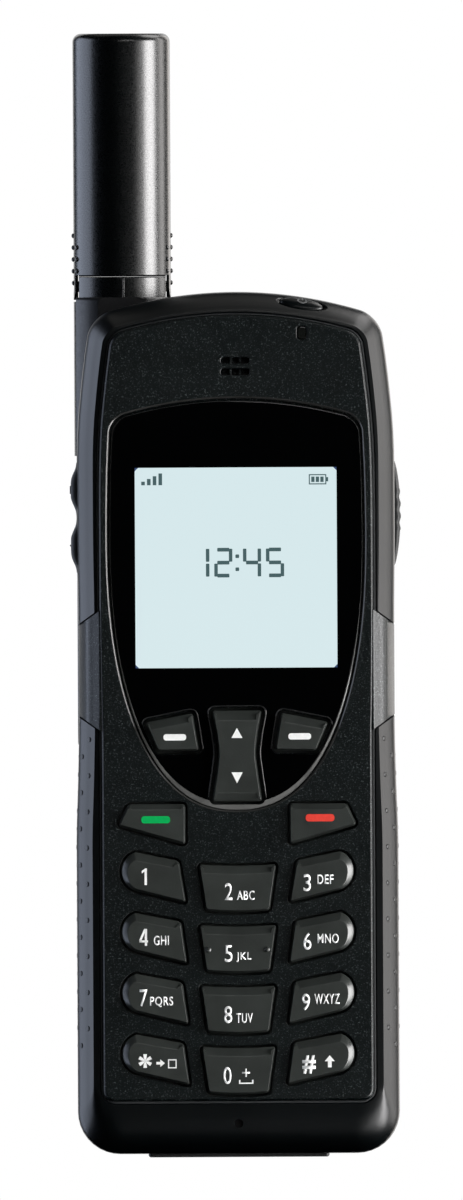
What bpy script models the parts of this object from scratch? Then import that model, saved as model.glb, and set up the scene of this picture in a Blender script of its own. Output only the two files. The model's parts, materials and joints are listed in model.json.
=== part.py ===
"""Satellite phone, modelled as an assembly of separate named pieces.

The phone stands on its base with its front facing -Y and +Z up; the origin is
the centre of the base. All the lengths below are in millimetres; MM turns them
into metres.
"""

import math

import bmesh
import bpy
from mathutils import Matrix, Vector

MM = 0.001

# ---------------------------------------------------------------- dimensions
BODY_TOP = 143.0        # top of the casing on the centre line
TOP_BOW = 0.0072        # the top edge falls away as TOP_BOW * x * x
BODY_BOTTOM = 0.58      # underside of the casing, above the foot of the dock bezel
# half-width of the casing at each height
BODY_SIDE = ((7.6, 26.6), (52.0, 26.6), (62.0, 26.3), (72.0, 26.1), (88.0, 26.1),
             (104.0, 26.25), (114.0, 26.25), (120.0, 26.1), (125.0, 25.7),
             (131.5, 25.0), (135.0, 24.5), (145.0, 23.0))
PANEL_TOP, PANEL_BOW, PANEL_BOTTOM = 139.1, 0.0075, 9.4
PANEL_SIDE = ((9.0, 22.3), (69.0, 22.3), (76.0, 22.45), (92.0, 22.6), (108.0, 22.6),
              (115.0, 22.5), (120.0, 22.3), (125.0, 21.85), (131.0, 21.15),
              (135.0, 20.6), (145.0, 19.0))
PARTING_Y = -3.2        # rear edge of the front shells
GAP = 0.3               # clearance between neighbouring pieces

PANEL_FRONT, PANEL_BACK = -14.0, -12.0
RECESS_FLOOR = -12.75
LENS_FRONT, LENS_BACK = -13.8, -13.05
KEY_TOP, KEY_BACK = -14.9, -11.1
FLANGE_FRONT = -11.7
KEY_GAP = 0.4

WAIST_HIGH, WAIST_LOW = 90.7, 70.3
WAIST_SLOPE = 0.72

ANT_X, ANT_Y, ANT_R = -18.55, 5.6, 8.05
ANT_TOP = 185.8
HINGE_Z = 144.0
SEAM_Z = 145.6
MAST_LOW, MAST_SHOULDER = 116.0, 141.5
TONGUE_HALF = 6.98
STOW_TRAVEL = 42.6

BACK_Y = 13.6
ROW_PITCH = 10.05

# ------------------------------------------------------------------- set-up
for old in list(bpy.data.objects):
    bpy.data.objects.remove(old, do_unlink=True)

PARTS = bpy.data.collections.new("satellite_phone")
CUTTERS = bpy.data.collections.new("cutters")
for group in (PARTS, CUTTERS):
    bpy.context.scene.collection.children.link(group)
CUTTERS.hide_render = True


def material(name, colour, roughness, metallic=0.0, alpha=1.0):
    mat = bpy.data.materials.new(name)
    mat.use_nodes = True
    bsdf = mat.node_tree.nodes["Principled BSDF"]
    bsdf.inputs["Base Color"].default_value = (*colour, 1.0)
    bsdf.inputs["Roughness"].default_value = roughness
    bsdf.inputs["Metallic"].default_value = metallic
    bsdf.inputs["Alpha"].default_value = alpha
    mat.diffuse_color = (*colour, alpha)
    return mat


PANEL = material("panel_plastic", (0.026, 0.029, 0.032), 0.5)
GRIP = material("grip_overmould", (0.030, 0.030, 0.033), 0.45)
CASE = material("case_plastic", (0.024, 0.024, 0.026), 0.42)
KEYCAP = material("key_plastic", (0.048, 0.050, 0.050), 0.45)
GLOSS = material("lens_gloss", (0.004, 0.004, 0.005), 0.05)
SCREEN = material("screen_glass", (0.70, 0.83, 0.86), 0.3)
RUBBER = material("soft_rubber", (0.02, 0.02, 0.022), 0.7)
BOARD = material("board", (0.02, 0.13, 0.06), 0.5)
TIN = material("tinned_steel", (0.62, 0.63, 0.64), 0.35, 1.0)
BRASS = material("brass", (0.66, 0.49, 0.20), 0.35, 1.0)
STEEL = material("steel", (0.5, 0.51, 0.53), 0.3, 1.0)
CELL = material("battery_wrap", (0.05, 0.05, 0.055), 0.5)
CARD = material("card_plastic", (0.75, 0.76, 0.78), 0.4)
LIGHT = material("light_guide", (0.10, 0.11, 0.10), 0.25)
FORMER = material("ceramic_former", (0.80, 0.78, 0.72), 0.6)


# ------------------------------------------------------------------ helpers
def keep(obj, mat, cutter):
    for used in list(obj.users_collection):
        used.objects.unlink(obj)
    (CUTTERS if cutter else PARTS).objects.link(obj)
    if cutter:
        obj.hide_render = True
        obj.display_type = "WIRE"
    elif mat:
        obj.data.materials.clear()
        obj.data.materials.append(mat)
    return obj


def mesh_object(name, bm, mat=None, cutter=False):
    bmesh.ops.recalc_face_normals(bm, faces=bm.faces)
    mesh = bpy.data.meshes.new(name)
    bm.to_mesh(mesh)
    bm.free()
    return keep(bpy.data.objects.new(name, mesh), mat, cutter)


def block(name, low, high, mat=None, cutter=False, turn=None):
    """A box between two corners, turned about its centre by the matrix turn."""
    bm = bmesh.new()
    bmesh.ops.create_cube(bm, size=1.0)
    size = Vector(high) - Vector(low)
    centre = (Vector(high) + Vector(low)) / 2
    place = Matrix.Translation(centre * MM)
    if turn:
        place = place @ turn.to_4x4()
    bm.transform(place @ Matrix.Diagonal((*(size * MM), 1.0)))
    return mesh_object(name, bm, mat, cutter)


def rod(name, start, end, radius, sides=24, mat=None, cutter=False, radius_end=None):
    """A cylinder or a cone frustum from start to end."""
    start, end = Vector(start), Vector(end)
    along = end - start
    bm = bmesh.new()
    bmesh.ops.create_cone(bm, cap_ends=True, segments=sides, radius1=radius * MM,
                          radius2=(radius if radius_end is None else radius_end) * MM,
                          depth=along.length * MM)
    turn = Vector((0, 0, 1)).rotation_difference(along.normalized()).to_matrix()
    bm.transform(Matrix.Translation((start + end) / 2 * MM) @ turn.to_4x4())
    obj = mesh_object(name, bm, mat, cutter)
    obj.data.shade_smooth()
    obj.data.set_sharp_from_angle(angle=math.radians(35))
    return obj


def solidified(curve_obj, name, mat, cutter):
    """The mesh of a filled curve, closed and in world space."""
    bpy.context.view_layer.update()
    graph = bpy.context.evaluated_depsgraph_get()
    mesh = bpy.data.meshes.new_from_object(curve_obj.evaluated_get(graph))
    mesh.transform(curve_obj.matrix_world)
    bpy.data.objects.remove(curve_obj, do_unlink=True)
    bm = bmesh.new()
    bm.from_mesh(mesh)
    bmesh.ops.remove_doubles(bm, verts=bm.verts, dist=2e-6)
    bpy.data.meshes.remove(mesh)
    return mesh_object(name, bm, mat, cutter)


AXES = {
    # columns: the outline's first axis, its second axis, and the extrusion
    "y": Matrix(((1, 0, 0), (0, 0, -1), (0, 1, 0))),
    "x": Matrix(((0, 0, 1), (1, 0, 0), (0, 1, 0))),
    "z": Matrix(((1, 0, 0), (0, 1, 0), (0, 0, 1))),
}


def slab(name, outline, low, high, mat=None, cutter=False, along="y", frame=None):
    """A flat outline extruded from low to high along an axis.

    Along y the outline is (x, z), along x it is (y, z) and along z it is (x, y).
    frame, if given, is a matrix that places the outline's plane instead.
    """
    data = bpy.data.curves.new(name, "CURVE")
    data.dimensions = "2D"
    data.fill_mode = "BOTH"
    data.extrude = abs(high - low) / 2 * MM
    spline = data.splines.new("POLY")
    spline.points.add(len(outline) - 1)
    for point, (u, v) in zip(spline.points, outline):
        point.co = (u * MM, v * MM, 0.0, 1.0)
    spline.use_cyclic_u = True
    obj = bpy.data.objects.new(name, data)
    bpy.context.scene.collection.objects.link(obj)
    middle = (low + high) / 2 * MM
    if frame is None:
        turn = AXES[along].to_4x4()
        shift = {"x": (middle, 0, 0), "y": (0, middle, 0), "z": (0, 0, middle)}[along]
        obj.matrix_world = Matrix.Translation(shift) @ turn
    else:
        obj.matrix_world = frame @ Matrix.Translation((0, 0, middle))
    return solidified(obj, name, mat, cutter)


def loft(name, rings, mat=None, cutter=False):
    """A closed body through rings of points that differ in shape."""
    bm = bmesh.new()
    rows = [[bm.verts.new(Vector(p) * MM) for p in ring] for ring in rings]
    count = len(rows[0])
    for low, high in zip(rows, rows[1:]):
        for i in range(count):
            j = (i + 1) % count
            bm.faces.new((low[i], low[j], high[j], high[i]))
    bm.faces.new(rows[0])
    bm.faces.new(rows[-1])
    return mesh_object(name, bm, mat, cutter)


def boolean(obj, other, operation="DIFFERENCE"):
    modifier = obj.modifiers.new(other.name, "BOOLEAN")
    modifier.object = other
    modifier.operation = operation
    modifier.solver = "EXACT"
    return obj


def cut(obj, *others):
    for other in others:
        boolean(obj, other)
    return obj


def bevel_front(obj, front, width, segments=1):
    """Chamfers the edges round the face that lies at y = front."""
    bm = bmesh.new()
    bm.from_mesh(obj.data)
    at = lambda v: abs(v.co.y / MM - front) < 0.01
    bmesh.ops.dissolve_limit(bm, angle_limit=0.01, verts=bm.verts, edges=bm.edges)
    rim = [e for e in bm.edges if at(e.verts[0]) and at(e.verts[1])
           and any(abs(f.normal.y) < 0.5 for f in e.link_faces)]
    bmesh.ops.bevel(bm, geom=rim, offset=width * MM, segments=segments,
                    profile=0.5, affect="EDGES", clamp_overlap=True)
    bm.to_mesh(obj.data)
    bm.free()
    return obj


def origin_at(obj, point):
    """Puts the object's origin on its joint, without moving the shape."""
    place = Vector(point) * MM
    obj.data.transform(Matrix.Translation(-place))
    obj.location = place
    return obj


# ----------------------------------------------------------------- outlines
def conic(start, corner, end, count, weight=0.7071):
    """Points on the round that replaces a corner, both ends included."""
    found = []
    for i in range(count + 1):
        t = i / count
        a, b, c = (1 - t) ** 2, 2 * t * (1 - t) * weight, t * t
        total = a + b + c
        found.append(tuple((a * s + b * m + c * e) / total
                           for s, m, e in zip(start, corner, end)))
    return found


def table(pairs, at):
    for (a, first), (b, second) in zip(pairs, pairs[1:]):
        if at <= b:
            t = max(0.0, (at - a) / (b - a))
            return first + (second - first) * t
    return pairs[-1][1]


def outline_of(side, top, bow, bottom, inset=(0, 0, 0), r_top=3.2, r_low=7.0,
               n_side=10, n_top=8, n_arc=4):
    """A casing-like outline: straight base, gently curved sides, bowed top."""
    s, t, b = inset
    half = lambda z: table(side, z) - s
    roof = lambda x: top - t - bow * x * x
    floor = bottom + b
    corner_z = roof(half(top - 4))
    for _ in range(20):
        corner_z = roof(half(corner_z))
    corner_x = half(corner_z)
    right = conic((half(floor) - r_low, floor), (half(floor), floor),
                  (half(floor + r_low), floor + r_low), n_arc)
    low, high = floor + r_low, corner_z - r_top
    right += [(half(low + (high - low) * i / n_side), low + (high - low) * i / n_side)
              for i in range(1, n_side)]
    right += conic((half(high), high), (corner_x, corner_z),
                   (corner_x - r_top, roof(corner_x - r_top)), n_arc)
    end = corner_x - r_top
    right += [(end * (1 - i / n_top), roof(end * (1 - i / n_top)))
              for i in range(1, n_top)]
    return right + [(0.0, roof(0.0))] + [(-x, z) for x, z in reversed(right)]


def body_outline(s=0.0, t=None, b=None, r_top=3.2, r_low=7.0):
    inset = (s, s if t is None else t, s if b is None else b)
    return outline_of(BODY_SIDE, BODY_TOP, TOP_BOW, BODY_BOTTOM, inset, r_top, r_low)


def panel_outline(grow=0.0):
    return outline_of(PANEL_SIDE, PANEL_TOP, PANEL_BOW, PANEL_BOTTOM,
                      (-grow, -grow, -grow), 1.8, 1.7, n_arc=3)


def lens_outline(grow=0.0, steps=14):
    """Shield shape: bowed top, upright sides, and a long rounded point below."""
    half_width, knee, point, power = 21.3, 103.0, 57.3, 2.33
    roof = lambda x: 125.4 + grow - 0.0075 * x * x
    right = []
    for i in range(steps + 1):
        a = math.pi / 2 * i / steps
        u, v = math.sin(a) ** (2 / power), math.cos(a) ** (2 / power)
        right.append(((half_width + grow) * u, knee - (knee - point + grow) * v))
    right.append((half_width + grow - 0.12, 112.0))
    edge = half_width + grow - 0.45
    high = roof(edge) - 2.3
    right += conic((edge, high), (edge - 0.15, roof(edge)),
                   (edge - 2.5, roof(edge - 2.5)), 4)
    right += [((edge - 2.5) * (1 - i / 6), roof((edge - 2.5) * (1 - i / 6)))
              for i in range(1, 6)]
    # the lowest point lies on the centre line, and so does the highest
    return right + [(0.0, roof(0.0))] + [(-x, z) for x, z in reversed(right[1:])]


def offset(points, distance):
    """The outline grown by distance; points run counter-clockwise."""
    area = sum(a[0] * b[1] - b[0] * a[1]
               for a, b in zip(points, points[1:] + points[:1]))
    sign = 1.0 if area > 0 else -1.0
    found = []
    for i, here in enumerate(points):
        before, after = points[i - 1], points[(i + 1) % len(points)]
        d1 = Vector((here[0] - before[0], here[1] - before[1])).normalized()
        d2 = Vector((after[0] - here[0], after[1] - here[1])).normalized()
        n1, n2 = Vector((d1.y, -d1.x)) * sign, Vector((d2.y, -d2.x)) * sign
        middle = (n1 + n2).normalized()
        reach = min(distance / max(middle.dot(n1), 0.5), abs(distance) * 2) \
            if distance > 0 else max(distance / max(middle.dot(n1), 0.5), -abs(distance) * 2)
        found.append((here[0] + middle.x * reach, here[1] + middle.y * reach))
    return found


def rounded(points, radius, count=2):
    """The outline with each corner rounded."""
    found = []
    for i, here in enumerate(points):
        before, after = Vector(points[i - 1]), Vector(points[(i + 1) % len(points)])
        at = Vector(here)
        a = (before - at).normalized() * min(radius, (before - at).length * 0.45)
        b = (after - at).normalized() * min(radius, (after - at).length * 0.45)
        found += conic(tuple(at + a), tuple(at), tuple(at + b), count)
    return found


def mirrored(points):
    return [(-x, z) for x, z in reversed(points)]


def rect(x0, z0, x1, z1, radius=0.0, count=2):
    points = [(x0, z0), (x1, z0), (x1, z1), (x0, z1)]
    return rounded(points, radius, count) if radius else points


# ------------------------------------------------------------- key outlines
SIDE_IN_TOP = (9.7, 9.4, 9.2, 9.03)
SIDE_IN_LOW = (8.54, 8.4, 8.2, 8.05)
MID_TOP = (6.4, 6.36, 6.19, 6.12)
MID_LOW = (5.27, 5.26, 5.09, 4.98)


def side_key(row):
    """The right-hand key of a row: slanted, with a round outer end."""
    z = 50.4 - ROW_PITCH * row
    inner = rounded([(SIDE_IN_TOP[row], z - 1.4), (SIDE_IN_LOW[row], z - 8.4)], 0.5)
    centre, radius = (15.85, z - 3.12), 3.35
    end = [(centre[0] + radius * math.cos(math.radians(a)),
            centre[1] + radius * math.sin(math.radians(a)))
           for a in (-72, -48, -24, 0, 24, 48, 72)]
    top, low = (SIDE_IN_TOP[row], z - 1.4), (SIDE_IN_LOW[row], z - 8.4)
    corner_top = conic((top[0] + 0.6, top[1] + 0.1), top, (top[0] - 0.1, top[1] - 0.6), 2)
    corner_low = conic((low[0] + 0.1, low[1] + 0.6), low, (low[0] + 0.6, low[1] + 0.17), 2)
    return corner_top + corner_low + end


def middle_key(row):
    """The centre key of a row: wider at the top, with a bowed lower edge."""
    top, low = 48.4 - ROW_PITCH * row, 40.75 - ROW_PITCH * row
    a, b = MID_TOP[row], MID_LOW[row]
    return rounded([(-b, low), (0.0, low - 0.3), (b, low), (a, top),
                    (0.0, top - 0.25), (-a, top)], 0.55)


CALL = rounded([(-8.62, 58.4), (-18.1, 58.4), (-19.75, 54.8), (-8.62, 51.6)], 0.6)
SOFT = rounded([(-7.3, 73.4), (-15.1, 71.85), (-13.05, 67.1), (-6.3, 67.2)], 0.5)
NAV = rounded([(-4.12, 73.8), (-3.08, 66.8), (-4.13, 58.8), (4.13, 58.8),
               (3.08, 66.8), (4.12, 73.8)], 0.5)

KEYS = {}
for row in range(4):
    left, mid, right = (("key_1", "key_2", "key_3"), ("key_4", "key_5", "key_6"),
                        ("key_7", "key_8", "key_9"),
                        ("key_star", "key_0", "key_hash"))[row]
    KEYS[left] = mirrored(side_key(row))
    KEYS[mid] = middle_key(row)
    KEYS[right] = side_key(row)
KEYS["key_call"] = CALL
KEYS["key_end"] = mirrored(CALL)
KEYS["softkey_left"] = SOFT
KEYS["softkey_right"] = mirrored(SOFT)
KEYS["nav_key"] = NAV
UNDER_LENS = ("softkey_left", "softkey_right", "nav_key")


def counter_clockwise(points):
    area = sum(a[0] * b[1] - b[0] * a[1]
               for a, b in zip(points, points[1:] + points[:1]))
    return points if area > 0 else points[::-1]


KEYS = {name: counter_clockwise(points) for name, points in KEYS.items()}


def key_centre(points):
    xs, zs = [p[0] for p in points], [p[1] for p in points]
    return (min(xs) + max(xs)) / 2, (min(zs) + max(zs)) / 2


# ------------------------------------------------ casing volumes (hidden)
def ring(points, y):
    return [(x, y, z) for x, z in points]


FRONT_LEVELS = (
    # y, side inset, top inset, base inset
    (PARTING_Y, 0.12, 0.12, 0.0), (-7.6, 0.0, 0.0, 0.0), (-9.4, 0.22, 0.3, 0.55),
    (-11.2, 1.15, 1.25, 1.8), (-12.4, 1.95, 2.1, 3.5), (-13.1, 2.45, 2.7, 5.6),
    (-13.4, 2.75, 3.05, 7.5))
REAR_LEVELS = (
    (PARTING_Y + GAP, 0.12, 0.12, 0.0), (2.0, 0.1, 0.2, 0.0), (7.0, 0.45, 0.7, 0.0),
    (10.0, 1.2, 1.7, 0.5), (11.8, 2.4, 3.0, 1.8), (13.0, 4.2, 4.8, 3.9),
    (BACK_Y, 6.4, 7.2, 6.2))


def casing(name, levels, extra_front=0.0):
    rings = []
    for y, s, t, b in levels:
        r_top = max(1.2, 3.2 - 0.4 * s)
        rings.append(ring(body_outline(s, t, b, r_top, max(4.0, 7.0 - 0.4 * b)), y))
    return rings


def casing_body(name, levels, mat=None, cutter=False):
    return loft(name, casing(name, levels), mat, cutter)


waist_right = [(22.4, WAIST_HIGH), (34.0, WAIST_HIGH - 11.6 * WAIST_SLOPE),
               (34.0, WAIST_LOW + 11.6 * WAIST_SLOPE), (22.4, WAIST_LOW)]


def waist(grow):
    g = grow
    pts = [(x, z + (g if z > 80.5 else -g)) for x, z in waist_right]
    return counter_clockwise(pts + [(-x, z) for x, z in reversed(pts)])


# hollow inside the front shells, in two steps
hollow_front = loft("hollow_front", [
    ring(body_outline(4.4, 4.4, 8.0, 2.0, 2.0), -12.9),
    ring(body_outline(4.4, 4.4, 8.0, 2.0, 2.0), -9.3)], cutter=True)
hollow_mid = loft("hollow_mid", [
    ring(body_outline(1.8, 1.8, 2.9, 2.2, 5.5), -9.31),
    ring(body_outline(1.8, 1.8, 2.9, 2.2, 5.5), -2.0)], cutter=True)
panel_room = slab("panel_room", panel_outline(0.55), -20.0, PANEL_BACK + GAP, cutter=True)
dock_room = slab("dock_room", rect(-15.25, -7.3, 15.25, 9.3), -5.0, 2.1, cutter=True,
                 along="z")

# ------------------------------------------------------------ front pieces
lower_bezel = casing_body("lower_bezel", FRONT_LEVELS, GRIP)
boss_cut = []
for i, (x, z) in enumerate(((-21.9, 12.0), (21.9, 12.0), (-21.9, 59.0), (21.9, 59.0))):
    boss_cut.append((x, z))
low_keep = slab("low_keep", [(-40, -20), (40, -20)] + [
    (40.0, WAIST_LOW - GAP / 2 + 17.6 * WAIST_SLOPE), (22.4, WAIST_LOW - GAP / 2),
    (-22.4, WAIST_LOW - GAP / 2), (-40.0, WAIST_LOW - GAP / 2 + 17.6 * WAIST_SLOPE)],
    -30.0, 10.0, cutter=True)
cut(lower_bezel, hollow_mid, hollow_front, panel_room)
for i, (x, z) in enumerate(boss_cut):
    boss = rod(f"boss_{i}", (x, -7.9, z), (x, PARTING_Y, z), 3.3, 12, cutter=True)
    boolean(lower_bezel, boss, "UNION")
boolean(lower_bezel, low_keep, "INTERSECT")
for i, (x, z) in enumerate(boss_cut):
    cut(lower_bezel, rod(f"boss_bore_{i}", (x, -7.4, z), (x, 0.0, z), 1.2, 12, cutter=True))
cut(lower_bezel, dock_room,
    rod("mic_hole", (0, -20, 5.5), (0, -8.0, 5.5), 0.66, 12, cutter=True))

upper_bezel = casing_body("upper_bezel", FRONT_LEVELS, GRIP)
high_keep = slab("high_keep", [
    (40.0, 170.0), (-40.0, 170.0), (-40.0, WAIST_HIGH + GAP / 2 - 17.6 * WAIST_SLOPE),
    (-22.4, WAIST_HIGH + GAP / 2), (22.4, WAIST_HIGH + GAP / 2),
    (40.0, WAIST_HIGH + GAP / 2 - 17.6 * WAIST_SLOPE)], -30.0, 10.0, cutter=True)
cut(upper_bezel, hollow_mid, hollow_front, panel_room)
boolean(upper_bezel, high_keep, "INTERSECT")
ROCKER_Z = 105.8
cut(upper_bezel, block("rocker_room", (-34, -8.5, 95.9), (-22.0, -3.9, 115.7), cutter=True))

# the power button sits in a shallow dish on the sloping top rim
POWER_AT = Vector((11.3, -11.75, 140.75))
POWER_N = Vector((0.13, -0.63, 0.765)).normalized()
power_u = Vector((1, 0, -0.16)).normalized()
power_v = POWER_N.cross(power_u).normalized()
power_u = power_v.cross(POWER_N).normalized()
POWER_FRAME = Matrix((
    (power_u.x, power_v.x, POWER_N.x, POWER_AT.x * MM),
    (power_u.y, power_v.y, POWER_N.y, POWER_AT.y * MM),
    (power_u.z, power_v.z, POWER_N.z, POWER_AT.z * MM), (0, 0, 0, 1)))


def stadium(length, width, count=5):
    r, half = width / 2, (length - width) / 2
    right = [(half + r * math.sin(math.pi * i / count), -r * math.cos(math.pi * i / count))
             for i in range(count + 1)]
    return right + [(-x, -y) for x, y in right]


bm = bmesh.new()
bmesh.ops.create_uvsphere(bm, u_segments=20, v_segments=10, radius=1.0)
bm.transform(POWER_FRAME @ Matrix.Translation((0, 0, 0.9 * MM))
             @ Matrix.Diagonal((4.6 * MM, 2.0 * MM, 1.5 * MM, 1.0)))
power_dish = mesh_object("power_dish", bm, cutter=True)
power_room = slab("power_room", stadium(5.9, 2.9), -6.0, 3.0, cutter=True, frame=POWER_FRAME)
cut(upper_bezel, power_dish, power_room)

front_cover = slab("front_cover", panel_outline(), PANEL_FRONT, PANEL_BACK, PANEL)
wings = casing_body("waist_wings", FRONT_LEVELS, cutter=True)
cut(wings, hollow_mid, slab("hollow_under_panel", rect(-22.0, 60.0, 22.0, 100.0),
                            -12.5, -2.0, cutter=True))
boolean(wings, slab("waist_keep", waist(-GAP / 2), -30.0, 10.0, cutter=True), "INTERSECT")
boolean(front_cover, wings, "UNION")
# the wings fill out the edge of the panel to its full height
lens_room = slab("lens_room", lens_outline(), -20.0, RECESS_FLOOR, cutter=True)
window = slab("window", rect(-17.3, 80.2, 17.3, 114.7), -20.0, -9.0, cutter=True)
cut(front_cover, lens_room, window)
for name, points in KEYS.items():
    cut(front_cover, slab(name + "_room", offset(points, KEY_GAP), -20.0, -8.0, cutter=True))
for i, (low, high) in enumerate(((129.2, 130.35), (131.1, 132.2))):
    cut(front_cover, slab(f"ear_slot_{i}", rect(-2.4, low, 2.4, high, 0.4), -20.0, -8.0,
                          cutter=True))
cut(front_cover, slab("light_room", rect(10.2, 135.0, 11.9, 137.3, 0.5), -20.0, -8.0,
                      cutter=True))

light_pipe = slab("light_pipe", rect(10.32, 135.12, 11.78, 137.18, 0.45), -14.1, -11.6, LIGHT)

lens = slab("lens", lens_outline(-0.3), LENS_FRONT, LENS_BACK, GLOSS)
for name in UNDER_LENS:
    cut(lens, slab(name + "_lens_room", offset(KEYS[name], 0.6), -20.0, -8.0, cutter=True))

display_module = block("display_module", (-19.6, -11.7, 76.9), (19.6, -9.7, 118.0), SCREEN)
keypad_mat = slab("keypad_mat", rect(-20.9, 10.0, 20.9, 75.8, 1.5), -10.45, -9.7, RUBBER)
main_board = slab("main_board", [(-18.6, 9.2), (18.6, 9.2), (18.6, 72.0), (21.6, 76.0),
                                 (21.6, 118.0), (19.0, 134.5), (-19.0, 134.5),
                                 (-21.6, 118.0), (-21.6, 76.0), (-18.6, 72.0)],
                  -9.35, -8.35, BOARD)
rf_shield = slab("rf_shield", rect(-12.0, 84.0, 17.5, 118.5, 0.8), -8.05, -5.2, TIN)
baseband_shield = slab("baseband_shield", rect(-15.5, 22.0, 15.5, 62.0, 0.8), -8.05, -5.6,
                       TIN)
earpiece = rod("earpiece", (0, -11.65, 130.7), (0, -9.65, 130.7), 4.9, 24, RUBBER)
microphone = rod("microphone", (0, -8.95, 5.9), (0, -7.2, 5.9), 2.0, 16, STEEL)

# -------------------------------------------------------------------- keys
for name, points in KEYS.items():
    grow = 0.35 if name in UNDER_LENS else 0.6
    top = KEY_TOP - (0.05 if name == "nav_key" else 0.0)
    cap = slab(name, points, top, FLANGE_FRONT + 0.3, KEYCAP)
    bevel_front(cap, top, 0.5)
    # the rocker's flange is thinner, so that it can tip either way
    flange = slab(name + "_flange", offset(points, KEY_GAP + grow),
                  FLANGE_FRONT + (0.25 if name == "nav_key" else 0.0), KEY_BACK, cutter=True)
    boolean(cap, flange, "UNION")
    x, z = key_centre(points)
    origin_at(cap, (x, KEY_BACK, z))  # the rocker pivots here, the others slide

power_button = slab("power_button", stadium(5.3, 2.3), -2.6, 0.12, KEYCAP, frame=POWER_FRAME)
origin_at(power_button, POWER_AT)

# the volume rocker: one bar with two humps, pivoting at its middle
rocker_edge = []
for i in range(29):
    z = -9.6 + 19.2 * i / 28
    hump = 0.95 * math.exp(-((abs(z) - 4.6) / 3.1) ** 4) * (0.45 + 0.55 * min(1.0, abs(z) / 3.2))
    rocker_edge.append((-26.32 - max(hump, 0.0), ROCKER_Z + z))
rocker = slab("volume_rocker",
              counter_clockwise([(-24.0, ROCKER_Z - 9.6)] + rocker_edge
                                + [(-24.0, ROCKER_Z + 9.6)]), -8.2, -4.2, RUBBER)
origin_at(rocker, (-24.4, -6.2, ROCKER_Z))

# ------------------------------------------------------------- rear casing
rear_cover = casing_body("rear_cover", REAR_LEVELS, CASE)
sleeve = rod("antenna_sleeve", (ANT_X, ANT_Y, 75.0), (ANT_X, ANT_Y, 142.2), 9.4, 40,
             cutter=True)
sleeve_foot = rod("sleeve_foot", (ANT_X, ANT_Y, 66.0), (ANT_X, ANT_Y, 75.2), 6.6, 40,
                  cutter=True, radius_end=9.43)
boolean(rear_cover, sleeve_foot, "UNION")
boolean(rear_cover, sleeve, "UNION")
side_keep = block("side_keep", (-26.25, -2.88, -10), (40, 30, 200), cutter=True)
boolean(rear_cover, side_keep, "INTERSECT")

shallow = block("shallow_hollow", (-24.3, -10.0, 4.2), (24.3, 1.5, 66.5), cutter=True)
deep = slab("deep_hollow", [(-8.4, 60.0), (24.3, 60.0), (24.3, 116.0), (23.2, 130.0),
                            (22.0, 137.2), (10.0, 140.2), (0.0, 141.0), (-8.4, 140.5)],
            -10.0, 1.51, cutter=True)
deeper = slab("deeper_hollow", [(-8.4, 78.0), (22.4, 78.0), (22.4, 116.0), (21.4, 130.0),
                                (20.0, 135.6), (10.0, 138.0), (-8.4, 138.0)],
              1.0, 10.6, cutter=True)
bay = slab("battery_room", rect(-19.5, 8.0, 19.5, 63.0, 1.0), 2.7, 40.0, cutter=True)
cover_room = block("cover_room", (-60, BACK_Y - 2.0, 6.7), (60, 40, 64.6), cutter=True)
latch_room = slab("latch_room", rect(-6.3, 64.0, 6.3, 76.5), 11.2, 40.0, cutter=True)
channel = rod("antenna_channel", (ANT_X, ANT_Y, 72.8), (ANT_X, ANT_Y, 160.0), 8.35, 48,
              cutter=True)
slot = block("antenna_slot", (-40, ANT_Y - 4.6, 72.8), (-22.0, ANT_Y + 4.6, 160.0),
             cutter=True)
groove = block("grip_groove", (-16.0, ANT_Y - 4.8, 99.0), (ANT_X + 8.75, ANT_Y + 4.8, 160.0),
               cutter=True)
tip = Matrix.Rotation(math.radians(-45), 3, "X")
reach = Vector((0, math.sin(math.radians(45)), math.cos(math.radians(45))))


def tilt_room(name, clearance, x0, x1):
    """Everything past a plane at 45 degrees, clearance beyond the hinge pin."""
    centre = Vector((0, ANT_Y, HINGE_Z)) + reach * (clearance + 20.0)
    return block(name, (x0, centre.y - 60, centre.z - 20), (x1, centre.y + 60, centre.z + 20),
                 cutter=True, turn=tip)


tilt_case = tilt_room("tilt_room_case", 1.2, -40.0, ANT_X + 8.75)
top_room = block("antenna_top_room", (-40, -10, 100), (ANT_X + 8.75, ANT_Y - 4.0, 160),
                 cutter=True)
side_port = block("side_port_room", (21.0, -1.9, 97.3), (40, 6.6, 115.4), cutter=True)
dock_port = block("dock_port_room", (-9.3, -2.3, -5), (9.3, 5.0, 7.4), cutter=True)
cut(rear_cover, shallow, deep, deeper, bay, cover_room, latch_room, channel, slot, groove,
    tilt_case, side_port, dock_room, dock_port)
for i, (x, z) in enumerate(boss_cut):
    cut(rear_cover, rod(f"screw_bore_{i}", (x, -10, z), (x, 30, z), 1.2, 12, cutter=True),
        rod(f"screw_sink_{i}", (x, 9.6, z), (x, 30, z), 2.1, 16, cutter=True))
for i in range(5):
    cut(rear_cover, slab(f"ringer_slot_{i}", rect(5.0, 122.0 + 2.6 * i, 15.0, 123.3 + 2.6 * i,
                                                   0.5), 9.0, 30.0, cutter=True))

battery_cover = casing_body("battery_cover", REAR_LEVELS, CASE)
boolean(battery_cover, block("cover_keep", (-60, BACK_Y - 1.7, 7.0), (60, 40, 64.3),
                             cutter=True), "INTERSECT")
cut(battery_cover, block("latch_lip_room", (-6.6, 12.7, 62.6), (6.6, 40, 70), cutter=True))

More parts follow.
